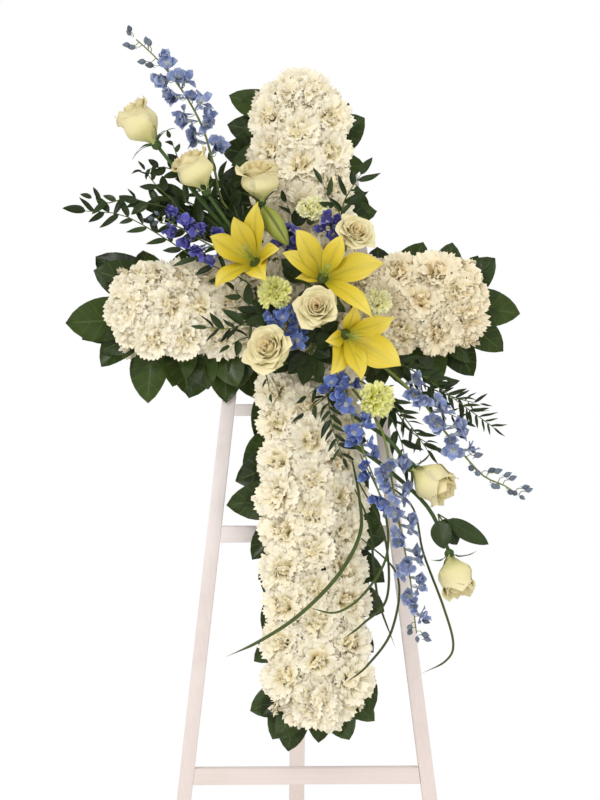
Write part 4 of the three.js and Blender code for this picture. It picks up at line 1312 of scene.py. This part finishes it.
# %% Side twigs, read off the photograph: pixel across, pixel down, millimetres out
TWIGS = {
    "ruscus_left": [
        ([(240, 226, 76), (222, 206, 86), (206, 192, 90), (196, 176, 92)], 9, 44, 17),
        ([(230, 250, 76), (200, 236, 88), (176, 226, 94), (154, 222, 96)], 9, 42, 16),
        ([(150, 204, 100), (128, 198, 106), (108, 203, 108), (92, 198, 110)], 7, 32, 12),
        ([(215, 240, 84), (190, 218, 98), (165, 207, 104), (138, 201, 106)], 8, 42, 16),
        ([(195, 222, 90), (172, 200, 102), (155, 184, 108), (145, 170, 110)], 8, 30, 12),
        ([(208, 205, 92), (182, 176, 102), (163, 167, 106), (142, 171, 108)], 8, 30, 15),
        ([(196, 190, 96), (181, 166, 104), (175, 150, 106), (170, 138, 108)], 6, 26, 13),
        ([(248, 246, 76), (238, 216, 84), (226, 192, 88), (216, 172, 90)], 9, 44, 17),
        ([(236, 240, 78), (212, 222, 86), (192, 206, 92), (176, 196, 94)], 8, 42, 18),
    ],
    "ruscus_middle_left": [
        ([(262, 318, 80), (246, 302, 92), (234, 290, 96)], 4, 32, 14),
        ([(264, 338, 80), (244, 338, 92), (230, 346, 96)], 4, 30, 13),
    ],
    "ruscus_lower_right": [
        ([(384, 392, 80), (398, 414, 88), (414, 434, 90), (434, 447, 90)], 8, 34, 8),
        ([(380, 396, 80), (392, 420, 88), (402, 444, 90), (405, 464, 90)], 8, 38, 10),
        ([(392, 372, 82), (420, 376, 90), (446, 380, 92)], 7, 34, 9),
        ([(404, 374, 78), (430, 388, 86), (456, 398, 90), (480, 404, 92)], 14, 30, 7),
        ([(396, 380, 76), (420, 398, 84), (442, 410, 88), (462, 420, 90)], 12, 30, 7),
    ],
    "ruscus_top_right": [
        ([(344, 240, 80), (340, 214, 94), (330, 200, 100), (322, 184, 104)], 5, 34, 13),
        ([(300, 244, 78), (294, 222, 88), (286, 202, 90)], 4, 38, 20),
    ],
    "ruscus_lower": [
        ([(336, 372, 84), (322, 384, 94), (306, 396, 100)], 4, 30, 11),
        ([(334, 388, 84), (322, 400, 94), (304, 413, 100)], 4, 30, 11),
        ([(262, 366, 80), (267, 378, 90), (270, 394, 92)], 3, 28, 11),
    ],
}


def sprig_form(chance, line, leaves, length, width, first):
    forms = [tube(line[::3], np.linspace(1.4, 0.6, len(line[::3])), 5, 1)]
    directions = tangents(line)
    for i in range(leaves):
        share = first + (1 - first) * i / (leaves - 1)
        at = min(int(share * (len(line) - 1)), len(line) - 1)
        along = directions[at]
        frontal = unit(OUTWARD - along[2] * along)
        way = 0 if i == leaves - 1 else (1 if i % 2 else -1)
        aside = way * chance.uniform(0.7, 1.2) * np.cross(along, frontal)
        direction = along + aside + chance.uniform(-0.2, 0.35) * frontal
        size = (1 - 0.25 * share) * chance.uniform(0.65, 1.15)
        blade = leaf(
            chance, length * size, width * size * chance.uniform(0.7, 1.15), (8, 4), middle=0.4,
            fold=chance.uniform(0.15, 0.7), droop=chance.uniform(-0.12, 0.3), point=1.6,
        )
        forms.append(moved(blade, along_axes(direction, frontal, chance.uniform(-0.9, 0.9)), line[at]))
    return joined(forms)


for name, (root, route, *leaf_facts) in SPRIGS.items():
    chance = random.Random(name)
    line = smooth_line([rooted(*root), *route], 40)
    forms = [sprig_form(chance, line, *leaf_facts, 0.25)]
    for pixels, *leaf_facts in TWIGS.get(name, []):
        twig = smooth_line([seen_at(*pixel) for pixel in pixels], 24)
        forms.append(sprig_form(chance, twig, *leaf_facts, 0.1))
    make_piece(name + "_sprig", forms, ["ruscus leaf", "green stem"], [name])

# %% Broad leaves among the flowers: root and tips read off the photograph, width, node and sheet
FANS = {
    "rose_leaves": (
        (438, 514, 110), [(489, 545, 116), (444, 549, 118), (458, 545, 102)],
        27, ["rose_leaves"], (12, 8),
    ),
    "foliage_upper_left": ((242, 250, 74), [
        (176, 204, 84), (186, 222, 80), (204, 190, 82), (224, 178, 80), (208, 212, 90), (232, 196, 88),
    ], 30),
    "foliage_upper_left_side": (
        (196, 206, 84), [(154, 184, 98), (142, 206, 98), (164, 222, 90)], 28,
    ),
    "foliage_crossing": ((306, 284, 84), [
        (290, 238, 90), (281, 258, 92), (302, 262, 92), (318, 240, 90), (282, 270, 90), (346, 312, 92),
        (350, 296, 90), (300, 318, 92), (358, 268, 88),
    ], 20),
    "foliage_crossing_left": ((284, 318, 84), [
        (250, 300, 92), (243, 322, 92), (256, 338, 92), (262, 292, 92), (236, 308, 94), (268, 330, 92),
    ], 17),
    "foliage_lower": ((312, 348, 80), [
        (298, 334, 90), (332, 336, 92), (330, 356, 96), (288, 374, 90), (303, 385, 94), (320, 382, 96),
        (272, 372, 84), (344, 362, 84), (316, 322, 84), (338, 320, 80),
    ], 24, ["foliage_lower"]),
}


def fan_of_leaves(name, root, tips, width, nodes=(), sheet=(10, 6)):
    chance = random.Random(name)
    root = seen_at(*root)
    forms = []
    for tip in tips:
        reach = seen_at(*tip) - root
        length = np.linalg.norm(reach)
        petiole = root + 0.22 * reach
        forms.append(stem([root, petiole], 3, 1.1, 5, 1))
        blade = leaf(chance, 0.82 * length, width * chance.uniform(0.9, 1.15), sheet, droop=0.05)
        turn = along_axes(reach, OUTWARD, chance.uniform(-0.4, 0.4))
        forms.append(moved(blade, turn, petiole - 0.04 * reach))
    make_piece(name + "_fan", forms, ["foliage", "green stem"], nodes)


for name, facts in FANS.items():
    fan_of_leaves(name, *facts)

# %% [markdown]
# ## Bear grass
#
# Each blade of grass is one long ribbon, a few millimetres wide, keeled along its middle. It springs
# out of the spray, arches forward and hangs.

# %% Blades of grass: width, root and route
GRASS = {
    "bear_grass_long": (5.6, (58, -226), [
        (64, -290, 96), (62, -343, 112), (30, -400, 124), (-25, -453, 124), (-80, -486, 112),
        (-127, -505, 98),
    ]),
    "bear_grass_crossing": (3.7, (70, -222), [
        (96, -300, 100), (98, -372, 112), (66, -424, 114), (26, -450, 112), (-16, -440, 106),
    ]),
    "bear_grass_short": (3.7, (64, -256), [
        (96, -340, 94), (96, -430, 112), (62, -466, 110), (34, -486, 102),
    ]),
    "bear_grass_hook": (3.7, (72, -246), [
        (134, -300, 96), (150, -370, 92), (174, -444, 92), (184, -496, 104), (172, -520, 108),
        (138, -536, 104),
    ]),
    "bear_grass_inner": (3.7, (58, -264), [
        (76, -330, 102), (80, -392, 102), (86, -440, 100), (106, -500, 96),
    ]),
    "bear_grass_low": (3.7, (66, -340), [
        (112, -400, 96), (102, -474, 94), (66, -522, 92), (36, -544, 90),
    ]),
}
RIBBON_FACES = (0.3, 0, 1)


def ribbon(line, width, tone):
    count = len(line)
    sheet = flat_sheet(count - 1, 2)
    along = tangents(line)
    side = np.cross(np.broadcast_to(unit(RIBBON_FACES), along.shape), along)
    side /= np.linalg.norm(side, axis=1)[:, None]
    normal = np.cross(along, side)
    row = np.round(sheet.uv[:, 0] * (count - 1)).astype(int)

    def shape(s, t):
        narrowing = np.clip((1 - s) * 8, 0.05, 1)
        half = 0.5 * width * (0.35 + 0.65 * np.sin(np.pi * s) ** 0.6) * narrowing
        keel = 0.35 * half * np.abs(t)
        return (line[row] + side[row] * (half * t)[:, None] + normal[row] * keel[:, None]).T

    return shaped(sheet, shape, tone)


for name, (width, root, route) in GRASS.items():
    blade = ribbon(smooth_line([rooted(*root), *route], 48), width, random.Random(name).random())
    make_piece(name + "_blade", [blade], ["grass"], [name])

# %% [markdown]
# ## Room, light and camera
#
# The photograph has a white ground. A pale round floor in a white room gives that, and large soft
# lights give the gentle shadows between the petals. What is mirrored of the room is darker, so that
# glossy leaves stay dark.

# %% Floor, a little below the feet
FLOOR_RADIUS, FLOOR_HEIGHT = 1.9, -0.0005
bpy.ops.mesh.primitive_circle_add(
    vertices=128, radius=FLOOR_RADIUS, fill_type="NGON", location=(0, 0, FLOOR_HEIGHT),
)
floor = bpy.context.object
floor.name = "floor"
floor.data.materials.append(FINISHES["pale floor"])

# %% Lights: place, size in metres, and power
MIDDLE_OF_CROSS = Vector((0, -0.15, 1.1))
LIGHTS = {
    "key": ((-1.9, -3.0, 3.1), (1.2, 1.2), 36),
    "fill": ((2.8, -3.0, 1.4), (2.2, 2.2), 12),
    "back": ((0.5, 2.8, 2.6), (2.5, 1.5), 14),
}
for name, (place, size, power) in LIGHTS.items():
    lamp = bpy.data.lights.new(name, "AREA")
    lamp.shape = "RECTANGLE"
    lamp.size, lamp.size_y = size
    lamp.energy = power
    light = bpy.data.objects.new(name, lamp)
    bpy.context.scene.collection.objects.link(light)
    light.location = place
    light.rotation_euler = (MIDDLE_OF_CROSS - Vector(place)).to_track_quat("-Z", "Y").to_euler()

ROOM_BRIGHTNESS, MIRRORED_BRIGHTNESS = 1.0, 0.2
world = bpy.context.scene.world or bpy.data.worlds.new("room")
bpy.context.scene.world = world
world.use_nodes = True
mirrored = add_node(world.node_tree, "LightPath", output="Is Glossy Ray")
brightness = add_node(world.node_tree, "MapRange", {
    "Value": mirrored, "To Min": ROOM_BRIGHTNESS, "To Max": MIRRORED_BRIGHTNESS,
})
background = world.node_tree.nodes["Background"]
connect(world.node_tree, background, {"Color": (1, 1, 1, 1), "Strength": brightness})
bpy.context.scene.view_settings.view_transform = "Standard"

# %% Camera: its sensor's height and its lens, in millimetres, as FOCAL gives them in pixels
SENSOR_HEIGHT, FOCAL_LENGTH = 36, 93.1
lens = bpy.data.cameras.new("camera")
lens.sensor_fit = "VERTICAL"
lens.sensor_height = SENSOR_HEIGHT
lens.lens = FOCAL_LENGTH
camera = bpy.data.objects.new("camera", lens)
bpy.context.scene.collection.objects.link(camera)
camera.location = camera_place
camera.rotation_euler = (math.radians(90), 0, CAMERA_TURN)
bpy.context.scene.camera = camera
print("camera at", [round(x, 3) for x in camera.location])

# %% [markdown]
# ## The end

# The box of what is seen has to stay within the imported model's box.

# %% The end: the scene is brought up to date
bpy.context.view_layer.update()
